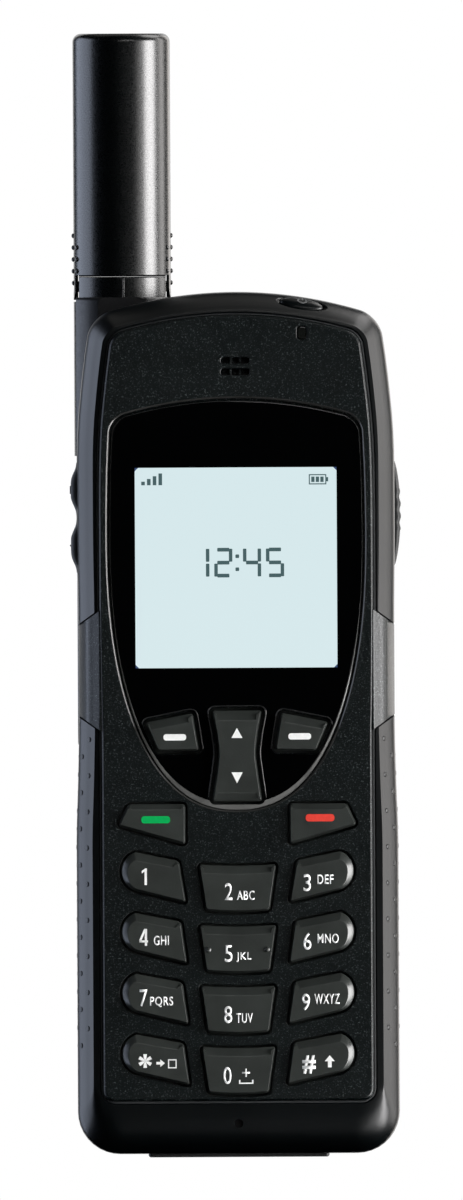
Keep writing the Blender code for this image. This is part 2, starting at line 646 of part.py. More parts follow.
battery = slab("battery", rect(-19.2, 8.3, 19.2, 60.6, 1.2), 4.9, 11.5, CELL)
battery_contacts = block("battery_contacts", (-6.0, 5.6, 60.95), (6.0, 8.6, 62.7), BRASS)
latch = block("battery_latch", (-6.0, 11.5, 65.0), (6.0, 13.4, 73.4), RUBBER)
boolean(latch, block("latch_nose", (-6.0, 13.0, 62.95), (6.0, 13.9, 65.6), cutter=True), "UNION")
for i in range(3):
    boolean(latch, block(f"latch_rib_{i}", (-4.6, 13.2, 67.0 + 2.0 * i),
                         (4.6, 13.9, 67.8 + 2.0 * i), cutter=True), "UNION")
origin_at(latch, (0, 12.5, 69.0))

sim_holder = block("sim_holder", (-14.0, 3.0, 34.0), (14.0, 4.6, 54.0), TIN)
cut(sim_holder, block("card_room", (-12.9, 3.3, 30.0), (12.9, 4.3, 50.6), cutter=True),
    block("card_window", (-9.0, 2.0, 37.0), (9.0, 4.29, 47.5), cutter=True))
sim_card = slab("sim_card", [(-12.5, 35.3), (12.5, 35.3), (12.5, 50.3), (-9.5, 50.3),
                             (-12.5, 47.3)], 3.42, 4.18, CARD)
ringer_speaker = rod("ringer_speaker", (10.0, 5.4, 128.4), (10.0, 10.2, 128.4), 7.4, 28,
                     RUBBER)
vibration_motor = rod("vibration_motor", (2.0, 6.0, 86.0), (14.0, 6.0, 86.0), 2.2, 18, STEEL)
for i, (x, z) in enumerate(boss_cut):
    screw = rod(f"case_screw_{i + 1}", (x, -7.0, z), (x, 10.3, z), 0.9, 12, STEEL)
    boolean(screw, rod(f"screw_head_{i}", (x, 9.85, z), (x, 11.2, z), 1.75, 16, cutter=True),
            "UNION")
    cut(screw, block(f"screw_drive_{i}", (x - 0.28, 10.6, z - 1.2), (x + 0.28, 12.0, z + 1.2),
                     cutter=True))

# ---------------------------------------------------------------- base dock
dock_bezel = slab("dock_bezel", rect(-14.95, -7.0, 14.95, 9.0, 0.6), 0.0, 1.8, RUBBER,
                  along="z")
cut(dock_bezel, slab("dock_hole", rect(-11.5, -3.5, 11.5, 5.5), -5.0, 5.0, cutter=True,
                     along="z"))
dock_cover = slab("dock_cover", rect(-11.2, -3.2, 11.2, 5.2), 0.15, 1.5, RUBBER, along="z")
for i in range(3):
    cut(dock_cover, block(f"dock_rib_{i}", (-7.0, -2.4 + 1.2 * i, -1.0),
                          (7.0, -1.8 + 1.2 * i, 0.4), cutter=True))
origin_at(dock_cover, (0, 5.2, 0.15))
dock_connector = block("dock_connector", (-8.7, -1.9, 2.2), (8.7, 4.6, 7.1), STEEL)
cut(dock_connector, block("plug_room", (-7.4, -0.4, 0.0), (7.4, 3.1, 6.1), cutter=True))
boolean(dock_connector, block("plug_tongue", (-6.4, 1.0, 2.5), (6.4, 1.7, 6.6), cutter=True),
        "UNION")

# -------------------------------------------------- side ports and their cover
COVER_LOW, COVER_HIGH = 97.6, 115.1
cover_edge = []
for i in range(31):
    t = i / 30
    z = COVER_LOW + (COVER_HIGH - COVER_LOW) * t
    swell = 1.12 * math.sin(math.pi * t) ** 0.75
    if 0.36 < t < 0.72:
        swell = 1.08 + (0.1 if int((t - 0.36) / 0.06) % 2 == 0 else -0.12)
    cover_edge.append((26.12 + swell, z))
side_port_cover = slab("side_port_cover",
                       counter_clockwise([(25.3, COVER_LOW)] + cover_edge
                                         + [(25.3, COVER_HIGH)]), -1.6, 6.3, RUBBER)
origin_at(side_port_cover, (26.1, 6.3, 106.35))
headset_jack = rod("headset_jack", (13.0, 2.3, 101.9), (24.4, 2.3, 101.9), 2.9, 20, BRASS)
cut(headset_jack, rod("jack_bore", (16.0, 2.3, 101.9), (30.0, 2.3, 101.9), 1.3, 16,
                      cutter=True))
data_port = block("data_port", (15.5, 0.2, 105.9), (24.4, 4.4, 114.2), TIN)
cut(data_port, block("data_bore", (17.0, 0.8, 106.5), (30.0, 3.8, 113.6), cutter=True))
boolean(data_port, block("data_tongue", (16.5, 2.0, 107.4), (23.6, 2.7, 112.7), cutter=True),
        "UNION")

# ------------------------------------------------------------------ antenna
mast = rod("antenna_mast", (ANT_X, ANT_Y, MAST_LOW), (ANT_X, ANT_Y, SEAM_Z), ANT_R, 48, CASE)
for side, low, high in (("l", -12.0, -TONGUE_HALF), ("r", TONGUE_HALF, 12.0)):
    cut(mast, block(f"mast_side_{side}", (ANT_X + low, ANT_Y - 12, MAST_SHOULDER),
                    (ANT_X + high, ANT_Y + 12, 160), cutter=True))
cut(mast, tilt_room("tilt_room_mast", 1.6, -40.0, 10.0))
cut(mast, rod("mast_pin_bore", (ANT_X - 20, ANT_Y, HINGE_Z), (ANT_X + 20, ANT_Y, HINGE_Z),
              1.0, 16, cutter=True),
    rod("mast_cable_bore", (ANT_X, ANT_Y - 4.6, 100), (ANT_X, ANT_Y - 4.6, 160), 1.1, 12,
        cutter=True))
hinge_pin = rod("hinge_pin", (ANT_X - 7.85, ANT_Y, HINGE_Z), (ANT_X + 7.85, ANT_Y, HINGE_Z),
                0.9, 16, STEEL)

# the radome is turned from one profile, then slotted for the tongue of the mast
bm = bmesh.new()
profile = [(0.0, ANT_TOP)]
profile += conic((ANT_R - 1.3, ANT_TOP), (ANT_R, ANT_TOP), (ANT_R, ANT_TOP - 1.3), 3)
profile += [(ANT_R, HINGE_Z - 2.6), (6.2, HINGE_Z - 2.6), (6.2, ANT_TOP - 2.2),
            (0.0, ANT_TOP - 2.2)]
verts = [bm.verts.new((r * MM, 0.0, z * MM)) for r, z in profile]
for a, b in zip(verts, verts[1:]):
    bm.edges.new((a, b))
mesh = bpy.data.meshes.new("antenna_radome")
bm.to_mesh(mesh)
bm.free()
radome = keep(bpy.data.objects.new("antenna_radome", mesh), CASE, False)
turned = radome.modifiers.new("turned", "SCREW")
turned.steps = turned.render_steps = 48
turned.use_merge_vertices = True
turned.merge_threshold = 0.00001
turned.use_smooth_shade = True
radome.location = Vector((ANT_X, ANT_Y, 0.0)) * MM
tab = [(2.2 * math.cos(math.radians(a)), 2.2 * math.sin(math.radians(a)))
       for a in range(180, 361, 20)]
around_tab = ([(ANT_Y - 12, HINGE_Z + 1.9), (ANT_Y - 2.2, HINGE_Z + 1.9)]
              + [(ANT_Y + y, HINGE_Z + z) for y, z in tab]
              + [(ANT_Y + 2.2, HINGE_Z + 1.9), (ANT_Y + 12, HINGE_Z + 1.9),
                 (ANT_Y + 12, HINGE_Z - 6), (ANT_Y - 12, HINGE_Z - 6)])
radome_foot = rod("radome_foot", (ANT_X, ANT_Y, HINGE_Z - 2.6), (ANT_X, ANT_Y, 148.6), 7.6,
                  48, cutter=True)
boolean(radome, radome_foot, "UNION")
cut(radome, block("tongue_room", (ANT_X - 7.28, ANT_Y - 12, 130),
                  (ANT_X + 7.28, ANT_Y + 12, SEAM_Z + GAP), cutter=True),
    slab("around_tabs", counter_clockwise(around_tab), ANT_X - 20, ANT_X + 20, cutter=True,
         along="x"),
    rod("radome_pin_bore", (ANT_X - 20, ANT_Y, HINGE_Z), (ANT_X + 20, ANT_Y, HINGE_Z), 1.0, 16,
        cutter=True),
    rod("radome_cable_bore", (ANT_X, ANT_Y - 4.6, 140), (ANT_X, ANT_Y - 4.6, 150), 1.1, 12,
        cutter=True))

former = rod("element_former", (ANT_X, ANT_Y, 148.95), (ANT_X, ANT_Y, 182.9), 4.4, 20, FORMER)
coil = bpy.data.curves.new("antenna_helix", "CURVE")
coil.dimensions = "3D"
coil.bevel_depth = 0.35 * MM
coil.bevel_resolution = 1
coil.use_fill_caps = True
spline = coil.splines.new("POLY")
TURNS, PER_TURN = 4, 14
spline.points.add(TURNS * PER_TURN)
for i in range(TURNS * PER_TURN + 1):
    a = 2 * math.pi * i / PER_TURN
    spline.points[i].co = ((ANT_X + 5.15 * math.cos(a)) * MM, (ANT_Y + 5.15 * math.sin(a)) * MM,
                           (150.0 + 31.5 * i / (TURNS * PER_TURN)) * MM, 1.0)
coil_obj = bpy.data.objects.new("antenna_helix_curve", coil)
bpy.context.scene.collection.objects.link(coil_obj)
helix = solidified(coil_obj, "antenna_helix", BRASS, False)

# ------------------------------------------------------------- the assembly
def empty(name, at, parent=None):
    obj = bpy.data.objects.new(name, None)
    obj.empty_display_size = 0.01
    PARTS.objects.link(obj)
    obj.location = Vector(at) * MM
    if parent:
        obj.parent = parent
        obj.location -= parent.location
    return obj


phone = empty("phone_root", (0, 0, 0))
slide = empty("antenna_slide", (ANT_X, ANT_Y, 120.0), phone)
tilt = empty("antenna_tilt", (ANT_X, ANT_Y, HINGE_Z), phone)
for child, parent in ((radome, tilt), (former, tilt), (helix, tilt), (mast, slide),
                      (hinge_pin, slide)):
    child.parent = parent
    child.location = child.location - Vector(
        (ANT_X, ANT_Y, HINGE_Z if parent is tilt else 120.0)) * MM
for obj in PARTS.objects:
    if obj.parent is None and obj is not phone:
        obj.parent = phone
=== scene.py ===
"""Looks of the satellite phone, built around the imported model.

Lengths are in millimetres until they are turned into metres by MM. The front of
the phone faces -Y and +Z is up.
"""

import json
import math

import bmesh
import bpy
from mathutils import Matrix, Vector


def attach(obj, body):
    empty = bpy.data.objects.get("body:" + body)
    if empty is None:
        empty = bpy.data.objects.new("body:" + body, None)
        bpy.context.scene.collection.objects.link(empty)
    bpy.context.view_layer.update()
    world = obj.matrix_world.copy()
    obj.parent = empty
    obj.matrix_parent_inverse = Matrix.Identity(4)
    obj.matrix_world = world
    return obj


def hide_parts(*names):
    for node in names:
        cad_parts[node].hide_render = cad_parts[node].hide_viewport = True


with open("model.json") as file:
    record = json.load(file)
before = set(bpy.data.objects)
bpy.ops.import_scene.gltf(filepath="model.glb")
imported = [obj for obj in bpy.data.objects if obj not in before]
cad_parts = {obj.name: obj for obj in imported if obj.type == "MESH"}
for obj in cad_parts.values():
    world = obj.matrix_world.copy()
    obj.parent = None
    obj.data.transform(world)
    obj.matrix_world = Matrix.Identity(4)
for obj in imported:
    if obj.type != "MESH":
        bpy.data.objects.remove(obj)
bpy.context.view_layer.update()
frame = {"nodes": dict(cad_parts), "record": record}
NODES = frame["nodes"]
MM = 0.001

# ------------------------------------------------------------- dimensions
BODY_TOP, TOP_BOW, BODY_BOTTOM = 143.0, 0.0072, 0.58
BODY_SIDE = ((7.6, 26.6), (52.0, 26.6), (62.0, 26.3), (72.0, 26.1), (88.0, 26.1),
             (104.0, 26.25), (114.0, 26.25), (120.0, 26.1), (125.0, 25.7),
             (131.5, 25.0), (135.0, 24.5), (145.0, 23.0))
PANEL_TOP, PANEL_BOW, PANEL_BOTTOM = 139.1, 0.0075, 9.4
PANEL_SIDE = ((9.0, 22.3), (69.0, 22.3), (76.0, 22.45), (92.0, 22.6), (108.0, 22.6),
              (115.0, 22.5), (120.0, 22.3), (125.0, 21.85), (131.0, 21.15),
              (135.0, 20.6), (145.0, 19.0))
PARTING_Y, GAP = -3.2, 0.3
PANEL_FRONT, PANEL_BACK = -14.0, -12.0
RECESS_FLOOR = -12.75
LENS_FRONT, LENS_BACK = -13.8, -13.05
KEY_TOP, KEY_BACK, FLANGE_FRONT = -14.9, -11.1, -11.7
KEY_GAP = 0.4
WAIST_HIGH, WAIST_LOW, WAIST_SLOPE = 90.7, 70.3, 0.72
ANT_X, ANT_Y, ANT_R, ANT_TOP = -18.55, 5.6, 8.05, 185.8
HINGE_Z, SEAM_Z = 144.0, 145.6
MAST_LOW, MAST_SHOULDER, TONGUE_HALF = 116.0, 141.5, 6.98
BACK_Y, ROW_PITCH = 13.6, 10.05
ROCKER_Z = 105.8


# -------------------------------------------------------------- materials
def graph(name):
    mat = bpy.data.materials.new(name)
    mat.use_nodes = True
    tree = mat.node_tree
    bsdf = tree.nodes["Principled BSDF"]
    return mat, tree, bsdf


def place(tree):
    return tree.nodes.new("ShaderNodeTexCoord").outputs["Object"]


def noise(tree, vector, scale, detail=2.0, rough=0.5):
    node = tree.nodes.new("ShaderNodeTexNoise")
    node.inputs["Scale"].default_value = scale
    node.inputs["Detail"].default_value = detail
    node.inputs["Roughness"].default_value = rough
    tree.links.new(vector, node.inputs["Vector"])
    return node.outputs["Fac"]


def cells(tree, vector, scale, out="Distance"):
    node = tree.nodes.new("ShaderNodeTexVoronoi")
    node.inputs["Scale"].default_value = scale
    tree.links.new(vector, node.inputs["Vector"])
    return node.outputs[out]


def span(tree, value, low, high, to_low, to_high):
    node = tree.nodes.new("ShaderNodeMapRange")
    for name, number in (("From Min", low), ("From Max", high), ("To Min", to_low),
                         ("To Max", to_high)):
        node.inputs[name].default_value = number
    tree.links.new(value, node.inputs["Value"])
    return node.outputs["Result"]


def blend_colour(tree, factor, first, second):
    node = tree.nodes.new("ShaderNodeMix")
    node.data_type = "RGBA"
    tree.links.new(factor, node.inputs["Factor"])
    for socket, colour in ((node.inputs["A"], first), (node.inputs["B"], second)):
        if isinstance(colour, tuple):
            socket.default_value = (*colour, 1.0)
        else:
            tree.links.new(colour, socket)
    return node.outputs["Result"]


def bumped(tree, bsdf, heights):
    """Chains bump nodes: (height socket, strength, distance in mm)."""
    normal = None
    for height, strength, depth in heights:
        node = tree.nodes.new("ShaderNodeBump")
        node.inputs["Strength"].default_value = strength
        node.inputs["Distance"].default_value = depth * MM
        tree.links.new(height, node.inputs["Height"])
        if normal is not None:
            tree.links.new(normal, node.inputs["Normal"])
        normal = node.outputs["Normal"]
    tree.links.new(normal, bsdf.inputs["Normal"])


def plastic(name, colour, rough, grain=4200.0, grain_depth=0.012, grain_strength=0.5,
            fleck=None, fleck_share=0.12, specular=0.5, rough_swing=0.06, worn=None,
            tint=None, sheen=0.0, glint=0.0):
    """Moulded plastic: spark-eroded grain, slow unevenness, and rubbed patches."""
    mat, tree, bsdf = graph(name)
    at = place(tree)
    fine = noise(tree, at, grain, 2.0, 0.6)
    pits = cells(tree, at, grain * 0.55)
    slow = noise(tree, at, 55.0, 3.0, 0.55)
    patch = noise(tree, at, 230.0, 4.0, 0.6)
    base = blend_colour(tree, span(tree, patch, 0.35, 0.7, 0.0, 1.0), colour,
                        tint or tuple(c * 0.72 for c in colour))
    if fleck:
        speck = noise(tree, at, grain * 1.35, 3.0, 0.75)
        base = blend_colour(tree, span(tree, speck, 0.66 - fleck_share, 0.72, 0.0, 1.0),
                            base, fleck)
    if worn:
        base = blend_colour(tree, span(tree, slow, 0.58, 0.78, 0.0, 0.6), base, worn)
    tree.links.new(base, bsdf.inputs["Base Color"])
    tree.links.new(span(tree, slow, 0.3, 0.7, rough - rough_swing, rough + rough_swing),
                   bsdf.inputs["Roughness"])
    bsdf.inputs["Specular IOR Level"].default_value = specular
    if glint:
        spark = noise(tree, at, grain, 2.0, 0.7)
        tree.links.new(span(tree, spark, 0.36, 0.66, rough * (1.0 + glint),
                            rough * (1.0 - 0.5 * glint)), bsdf.inputs["Roughness"])
    if sheen:
        bsdf.inputs["Sheen Weight"].default_value = sheen
        bsdf.inputs["Sheen Roughness"].default_value = 0.4
    bumped(tree, bsdf, ((fine, grain_strength, grain_depth),
                        (pits, grain_strength * 0.6, grain_depth * 0.8)))
    mat.diffuse_color = (*colour, 1.0)
    return mat


def gloss(name, colour, rough=0.03, coat=1.0):
    mat, tree, bsdf = graph(name)
    at = place(tree)
    haze = noise(tree, at, 120.0, 4.0, 0.6)
    tree.links.new(blend_colour(tree, haze, colour, tuple(c * 0.5 for c in colour)),
                   bsdf.inputs["Base Color"])
    tree.links.new(span(tree, haze, 0.3, 0.8, rough, rough + 0.035),
                   bsdf.inputs["Roughness"])
    bsdf.inputs["Coat Weight"].default_value = coat
    bsdf.inputs["Coat Roughness"].default_value = rough
    bumped(tree, bsdf, ((noise(tree, at, 40.0, 1.0), 0.05, 0.02),))
    mat.diffuse_color = (*colour, 1.0)
    return mat


def metal(name, colour, rough, brushed=False):
    mat, tree, bsdf = graph(name)
    at = place(tree)
    if brushed:
        stretch = tree.nodes.new("ShaderNodeMapping")
        stretch.inputs["Scale"].default_value = (0.06, 1.0, 1.0)
        tree.links.new(at, stretch.inputs["Vector"])
        at = stretch.outputs["Vector"]
    fine = noise(tree, at, 2600.0, 3.0)
    slow = noise(tree, at, 190.0, 4.0)
    tree.links.new(blend_colour(tree, slow, colour, tuple(c * 0.7 for c in colour)),
                   bsdf.inputs["Base Color"])
    tree.links.new(span(tree, slow, 0.3, 0.7, rough * 0.8, rough * 1.25),
                   bsdf.inputs["Roughness"])
    bsdf.inputs["Metallic"].default_value = 1.0
    bumped(tree, bsdf, ((fine, 0.25, 0.006),))
    mat.diffuse_color = (*colour, 1.0)
    return mat


def paint(name, colour, rough=0.45, glow=0.0, specular=0.5):
    """Printed ink or an inlaid bar: slightly uneven, with a soft tooth; glow, when given, is a
    painted glow on the ink.
    """
    mat, tree, bsdf = graph(name)
    at = place(tree)
    uneven = noise(tree, at, 1500.0, 3.0)
    mixed = blend_colour(tree, span(tree, uneven, 0.35, 0.75, 0.0, 1.0), colour,
                         tuple(c * 0.88 for c in colour))
    tree.links.new(mixed, bsdf.inputs["Base Color"])
    tree.links.new(span(tree, uneven, 0.3, 0.7, rough - 0.05, rough + 0.08),
                   bsdf.inputs["Roughness"])
    bsdf.inputs["Specular IOR Level"].default_value = specular
    # painted glow: the ink emits its own colour, though it is no lamp
    if glow:
        tree.links.new(mixed, bsdf.inputs["Emission Color"])
        bsdf.inputs["Emission Strength"].default_value = glow
    bumped(tree, bsdf, ((uneven, 0.3, 0.004),))
    mat.diffuse_color = (*colour, 1.0)
    return mat


def lit_screen(name, colour, second, glow):
    """The lit display: a fine pixel grid and a slightly uneven backlight."""
    mat, tree, bsdf = graph(name)
    at = place(tree)
    backlight = noise(tree, at, 18.0, 1.0)
    grid = tree.nodes.new("ShaderNodeTexBrick")
    grid.offset = 0.0
    grid.inputs["Scale"].default_value = 1.0
    grid.inputs["Brick Width"].default_value = 0.00022
    grid.inputs["Row Height"].default_value = 0.00022
    grid.inputs["Mortar Size"].default_value = 0.00001
    grid.inputs["Color1"].default_value = (0.0, 0.0, 0.0, 1.0)
    grid.inputs["Color2"].default_value = (0.0, 0.0, 0.0, 1.0)
    grid.inputs["Mortar"].default_value = (1.0, 1.0, 1.0, 1.0)
    turn = tree.nodes.new("ShaderNodeMapping")
    turn.inputs["Rotation"].default_value = (math.radians(-90), 0.0, 0.0)
    tree.links.new(at, turn.inputs["Vector"])
    tree.links.new(turn.outputs["Vector"], grid.inputs["Vector"])
    shade = blend_colour(tree, span(tree, backlight, 0.3, 0.7, 0.0, 1.0), colour, second)
    shade = blend_colour(tree, span(tree, grid.outputs["Fac"], 0.0, 1.0, 0.0, 0.12), shade,
                         tuple(c * 0.8 for c in colour))
    tree.links.new(shade, bsdf.inputs["Emission Color"])
    bsdf.inputs["Emission Strength"].default_value = glow
    bsdf.inputs["Base Color"].default_value = (0.01, 0.01, 0.01, 1.0)
    tree.links.new(span(tree, backlight, 0.3, 0.7, 0.1, 0.14), bsdf.inputs["Roughness"])
    bsdf.inputs["Coat Weight"].default_value = 0.6
    mat.diffuse_color = (*colour, 1.0)
    return mat


PANEL = plastic("panel_grain", (0.0010, 0.0034, 0.0038), 0.37, 2600.0, 0.03, 0.85,
                fleck=(0.105, 0.126, 0.128), fleck_share=0.09, specular=0.32,
                rough_swing=0.02)
GRIP = plastic("grip_satin", (0.0022, 0.0034, 0.0040), 0.32, 5200.0, 0.008, 0.32,
               specular=0.32, rough_swing=0.02)
CASE = plastic("case_satin", (0.0045, 0.0052, 0.0065), 0.36, 3300.0, 0.016, 0.6, glint=0.4,
               fleck=(0.018, 0.018, 0.021), fleck_share=0.13, specular=0.5, rough_swing=0.03)
RADOME = plastic("radome_satin", (0.0005, 0.0014, 0.0017), 0.25, 4600.0, 0.012, 0.55,
                 specular=0.62, rough_swing=0.010, glint=0.34)
KEYCAP = plastic("key_satin", (0.0365, 0.0415, 0.0385), 0.29, 3200.0, 0.016, 0.5,
                 fleck=(0.046, 0.051, 0.048), fleck_share=0.04, specular=0.5,
                 rough_swing=0.006)
RUBBER = plastic("port_rubber", (0.009, 0.010, 0.0105), 0.5, 3000.0, 0.016, 0.5,
                 specular=0.35, sheen=0.15)
GLOSS = gloss("lens_black", (0.0012, 0.0014, 0.0016), 0.03)
SMOKE = gloss("window_smoke", (0.012, 0.013, 0.012), 0.08, 0.6)
# the legends and the call and end bars carry a painted glow: emission on printed ink, which is no
# lamp
WHITE = paint("legend_white", (0.83, 0.84, 0.83), 0.4, 0.12)
GREEN = paint("call_green", (0.0001, 0.35, 0.078), 0.5, 0.14, 0.12)
RED = paint("end_red", (0.68, 0.052, 0.036), 0.5, 0.10, 0.16)
GREY_INK = paint("icon_grey", (0.10, 0.104, 0.107), 0.5)
SCREEN = lit_screen("screen_lit", (0.695, 0.835, 0.862), (0.685, 0.825, 0.852), 1.0)
INK = lit_screen("screen_ink", (0.060, 0.112, 0.120), (0.064, 0.118, 0.126), 1.0)
EDGE_BLUE = lit_screen("screen_edge", (0.03, 0.06, 0.15), (0.04, 0.07, 0.16), 1.0)
BOARD = plastic("board_mask", (0.015, 0.11, 0.05), 0.4, 1500.0, 0.01, 0.3,
                fleck=(0.45, 0.33, 0.12), fleck_share=0.02)
TIN = metal("tinned_sheet", (0.62, 0.63, 0.64), 0.34, True)
BRASS = metal("brass_turned", (0.66, 0.49, 0.20), 0.32)
STEEL = metal("steel_turned", (0.5, 0.51, 0.53), 0.3)
PIN = metal("pin_blackened", (0.035, 0.036, 0.04), 0.5)
CELL = plastic("battery_wrap", (0.035, 0.037, 0.042), 0.38, 1800.0, 0.01, 0.3)
CARD = plastic("card_plastic", (0.70, 0.71, 0.73), 0.4, 1800.0, 0.006, 0.3)
LIGHT = gloss("light_guide", (0.10, 0.11, 0.10), 0.12, 0.5)
FORMER = plastic("ceramic_former", (0.74, 0.72, 0.66), 0.6, 1800.0, 0.02, 0.5)
TRIM = plastic("trim_satin", (0.034, 0.035, 0.034), 0.20, 5200.0, 0.004, 0.2,
               specular=0.5, rough_swing=0.02)
# a lighter grey for the band at the lens edge: painted reflection of the pale floor in the
# downward-facing chamfer
REFLECTION_BAND = plastic("lens_band_painted_reflection", (0.12, 0.122, 0.118), 0.34, 5200.0, 0.006, 0.25,
               specular=0.5)
HOLE = plastic("deep_shadow", (0.001, 0.001, 0.0012), 0.8, 1800.0, 0.01, 0.3, specular=0.1)

FOR_SLOT = {"panel": PANEL, "grip": GRIP, "case": CASE, "keycap": KEYCAP, "lens": GLOSS,
            "screen": HOLE, "rubber": RUBBER, "board": BOARD, "tin": TIN, "brass": BRASS,
            "steel": STEEL, "cell": CELL, "card": CARD, "light_guide": LIGHT,
            "former": FORMER}


# ---------------------------------------------------------------- meshes
def new_object(name, bm, mat):
    bmesh.ops.recalc_face_normals(bm, faces=bm.faces)
    mesh = bpy.data.meshes.new(name)
    bm.to_mesh(mesh)
    bm.free()
    mesh.materials.append(mat)
    obj = bpy.data.objects.new(name, mesh)
    bpy.context.scene.collection.objects.link(obj)
    return obj


def tube(name, rings, mat=None, closed=False):
    """A body through rings of points; closed joins the last ring to the first."""
    bm = bmesh.new()
    rows = [[bm.verts.new(Vector(p) * MM) for p in ring] for ring in rings]
    count = len(rows[0])
    pairs = list(zip(rows, rows[1:])) + ([(rows[-1], rows[0])] if closed else [])
    for low, high in pairs:
        for i in range(count):
            j = (i + 1) % count
            bm.faces.new((low[i], low[j], high[j], high[i]))
    if not closed:
        bm.faces.new(rows[0])
        bm.faces.new(rows[-1])
    return new_object(name, bm, mat or HOLE)


def block(name, low, high, mat=None, turn=None):
    bm = bmesh.new()
    bmesh.ops.create_cube(bm, size=1.0)
    size = Vector(high) - Vector(low)
    at = Matrix.Translation((Vector(high) + Vector(low)) / 2 * MM)
    if turn:
        at = at @ turn.to_4x4()
    bm.transform(at @ Matrix.Diagonal((*(size * MM), 1.0)))
    return new_object(name, bm, mat or HOLE)


def rod(name, start, end, radius, sides=64, mat=None, radius_end=None):
    start, end = Vector(start), Vector(end)
    along = end - start
    bm = bmesh.new()
    bmesh.ops.create_cone(bm, cap_ends=True, segments=sides, radius1=radius * MM,
                          radius2=(radius if radius_end is None else radius_end) * MM,
                          depth=along.length * MM)
    turn = Vector((0, 0, 1)).rotation_difference(along.normalized()).to_matrix()
    bm.transform(Matrix.Translation((start + end) / 2 * MM) @ turn.to_4x4())
    return new_object(name, bm, mat or HOLE)


def turned(name, profile, at, mat=None, sides=96):
    """A profile of (radius, z) turned about the upright through at."""
    bm = bmesh.new()
    rows = []
    for r, z in profile:
        if r < 1e-6:
            rows.append([bm.verts.new((at[0] * MM, at[1] * MM, z * MM))])
        else:
            rows.append([bm.verts.new(((at[0] + r * math.cos(2 * math.pi * i / sides)) * MM,
                                       (at[1] + r * math.sin(2 * math.pi * i / sides)) * MM,
                                       z * MM)) for i in range(sides)])
    for low, high in zip(rows, rows[1:]):
        for i in range(sides):
            j = (i + 1) % sides
            face = [low[i % len(low)], low[j % len(low)], high[j % len(high)],
                    high[i % len(high)]]
            unique = []
            for v in face:
                if v not in unique:
                    unique.append(v)
            bm.faces.new(unique)
    for row in (rows[0], rows[-1]):
        if len(row) > 1:
            bm.faces.new(row)
    return new_object(name, bm, mat or HOLE)


def joined(name, parts):
    """Several meshes made into one object."""
    bm = bmesh.new()
    for part in parts:
        bm.from_mesh(part.data)
    mats = list(parts[0].data.materials)
    for part in parts:
        bpy.data.objects.remove(part, do_unlink=True)
    obj = new_object(name, bm, mats[0])
    return obj


def carve(obj, *others, operation="DIFFERENCE"):
    """Applies an exact Boolean with each of the others, and removes them."""
    for other in others:
        modifier = obj.modifiers.new("carve", "BOOLEAN")
        modifier.object = other
        modifier.operation = operation
        modifier.solver = "EXACT"
    bake(obj)
    for other in others:
        bpy.data.objects.remove(other, do_unlink=True)
    return obj


def bake(obj):
    bpy.context.view_layer.update()
    dg = bpy.context.evaluated_depsgraph_get()
    mesh = bpy.data.meshes.new_from_object(obj.evaluated_get(dg))
    old = obj.data
    obj.modifiers.clear()
    obj.data = mesh
    mesh.name = obj.name
    for mat in old.materials:
        if len(mesh.materials) == 0:
            mesh.materials.append(mat)
    while len(mesh.materials) > 1:
        mesh.materials.pop(index=len(mesh.materials) - 1)
    for face in mesh.polygons:
        face.material_index = 0
    return obj


def shaded(obj, angle=32.0, bevel=0.0, segments=2, limit=50.0):
    """Smooth shading with flat faces kept flat, and a small round on sharp edges."""
    if bevel:
        modifier = obj.modifiers.new("round", "BEVEL")
        modifier.width = bevel * MM
        modifier.segments = segments
        modifier.limit_method = "ANGLE"
        modifier.angle_limit = math.radians(limit)
        modifier.use_clamp_overlap = True
        modifier.miter_outer = "MITER_ARC"
        bake(obj)
    obj.data.shade_smooth()
    obj.data.set_sharp_from_angle(angle=math.radians(angle))
    normals = obj.modifiers.new("weighted", "WEIGHTED_NORMAL")
    normals.keep_sharp = True
    normals.weight = 100
    return obj


MADE = []


def piece(obj, body, slot, *nodes):
    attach(obj, body)
    if nodes:
        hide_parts(*nodes)
    MADE.append(obj)
    return obj


# -------------------------------------------------------------- outlines
def conic(start, corner, end, count, weight=0.7071):
    found = []
    for i in range(count + 1):
        t = i / count
        a, b, c = (1 - t) ** 2, 2 * t * (1 - t) * weight, t * t
        total = a + b + c
        found.append(tuple((a * s + b * m + c * e) / total
                           for s, m, e in zip(start, corner, end)))
    return found


def table(pairs, at):
    """A smooth reading of the pairs, which passes through every one."""
    if at <= pairs[0][0]:
        return pairs[0][1]
    if at >= pairs[-1][0]:
        return pairs[-1][1]
    for i in range(len(pairs) - 1):
        a, first = pairs[i]
        b, second = pairs[i + 1]
        if at <= b:
            t = (at - a) / (b - a)
            slope = (second - first) / (b - a)

            def tangent(k):
                if k <= 0 or k >= len(pairs) - 1:
                    return slope
                left = (pairs[k][1] - pairs[k - 1][1]) / (pairs[k][0] - pairs[k - 1][0])
                right = (pairs[k + 1][1] - pairs[k][1]) / (pairs[k + 1][0] - pairs[k][0])
                return 0.0 if left * right <= 0 else 2 * left * right / (left + right)

            m0, m1 = tangent(i) * (b - a), tangent(i + 1) * (b - a)
            return ((2 * t ** 3 - 3 * t ** 2 + 1) * first + (t ** 3 - 2 * t ** 2 + t) * m0
                    + (3 * t ** 2 - 2 * t ** 3) * second + (t ** 3 - t ** 2) * m1)
    return pairs[-1][1]


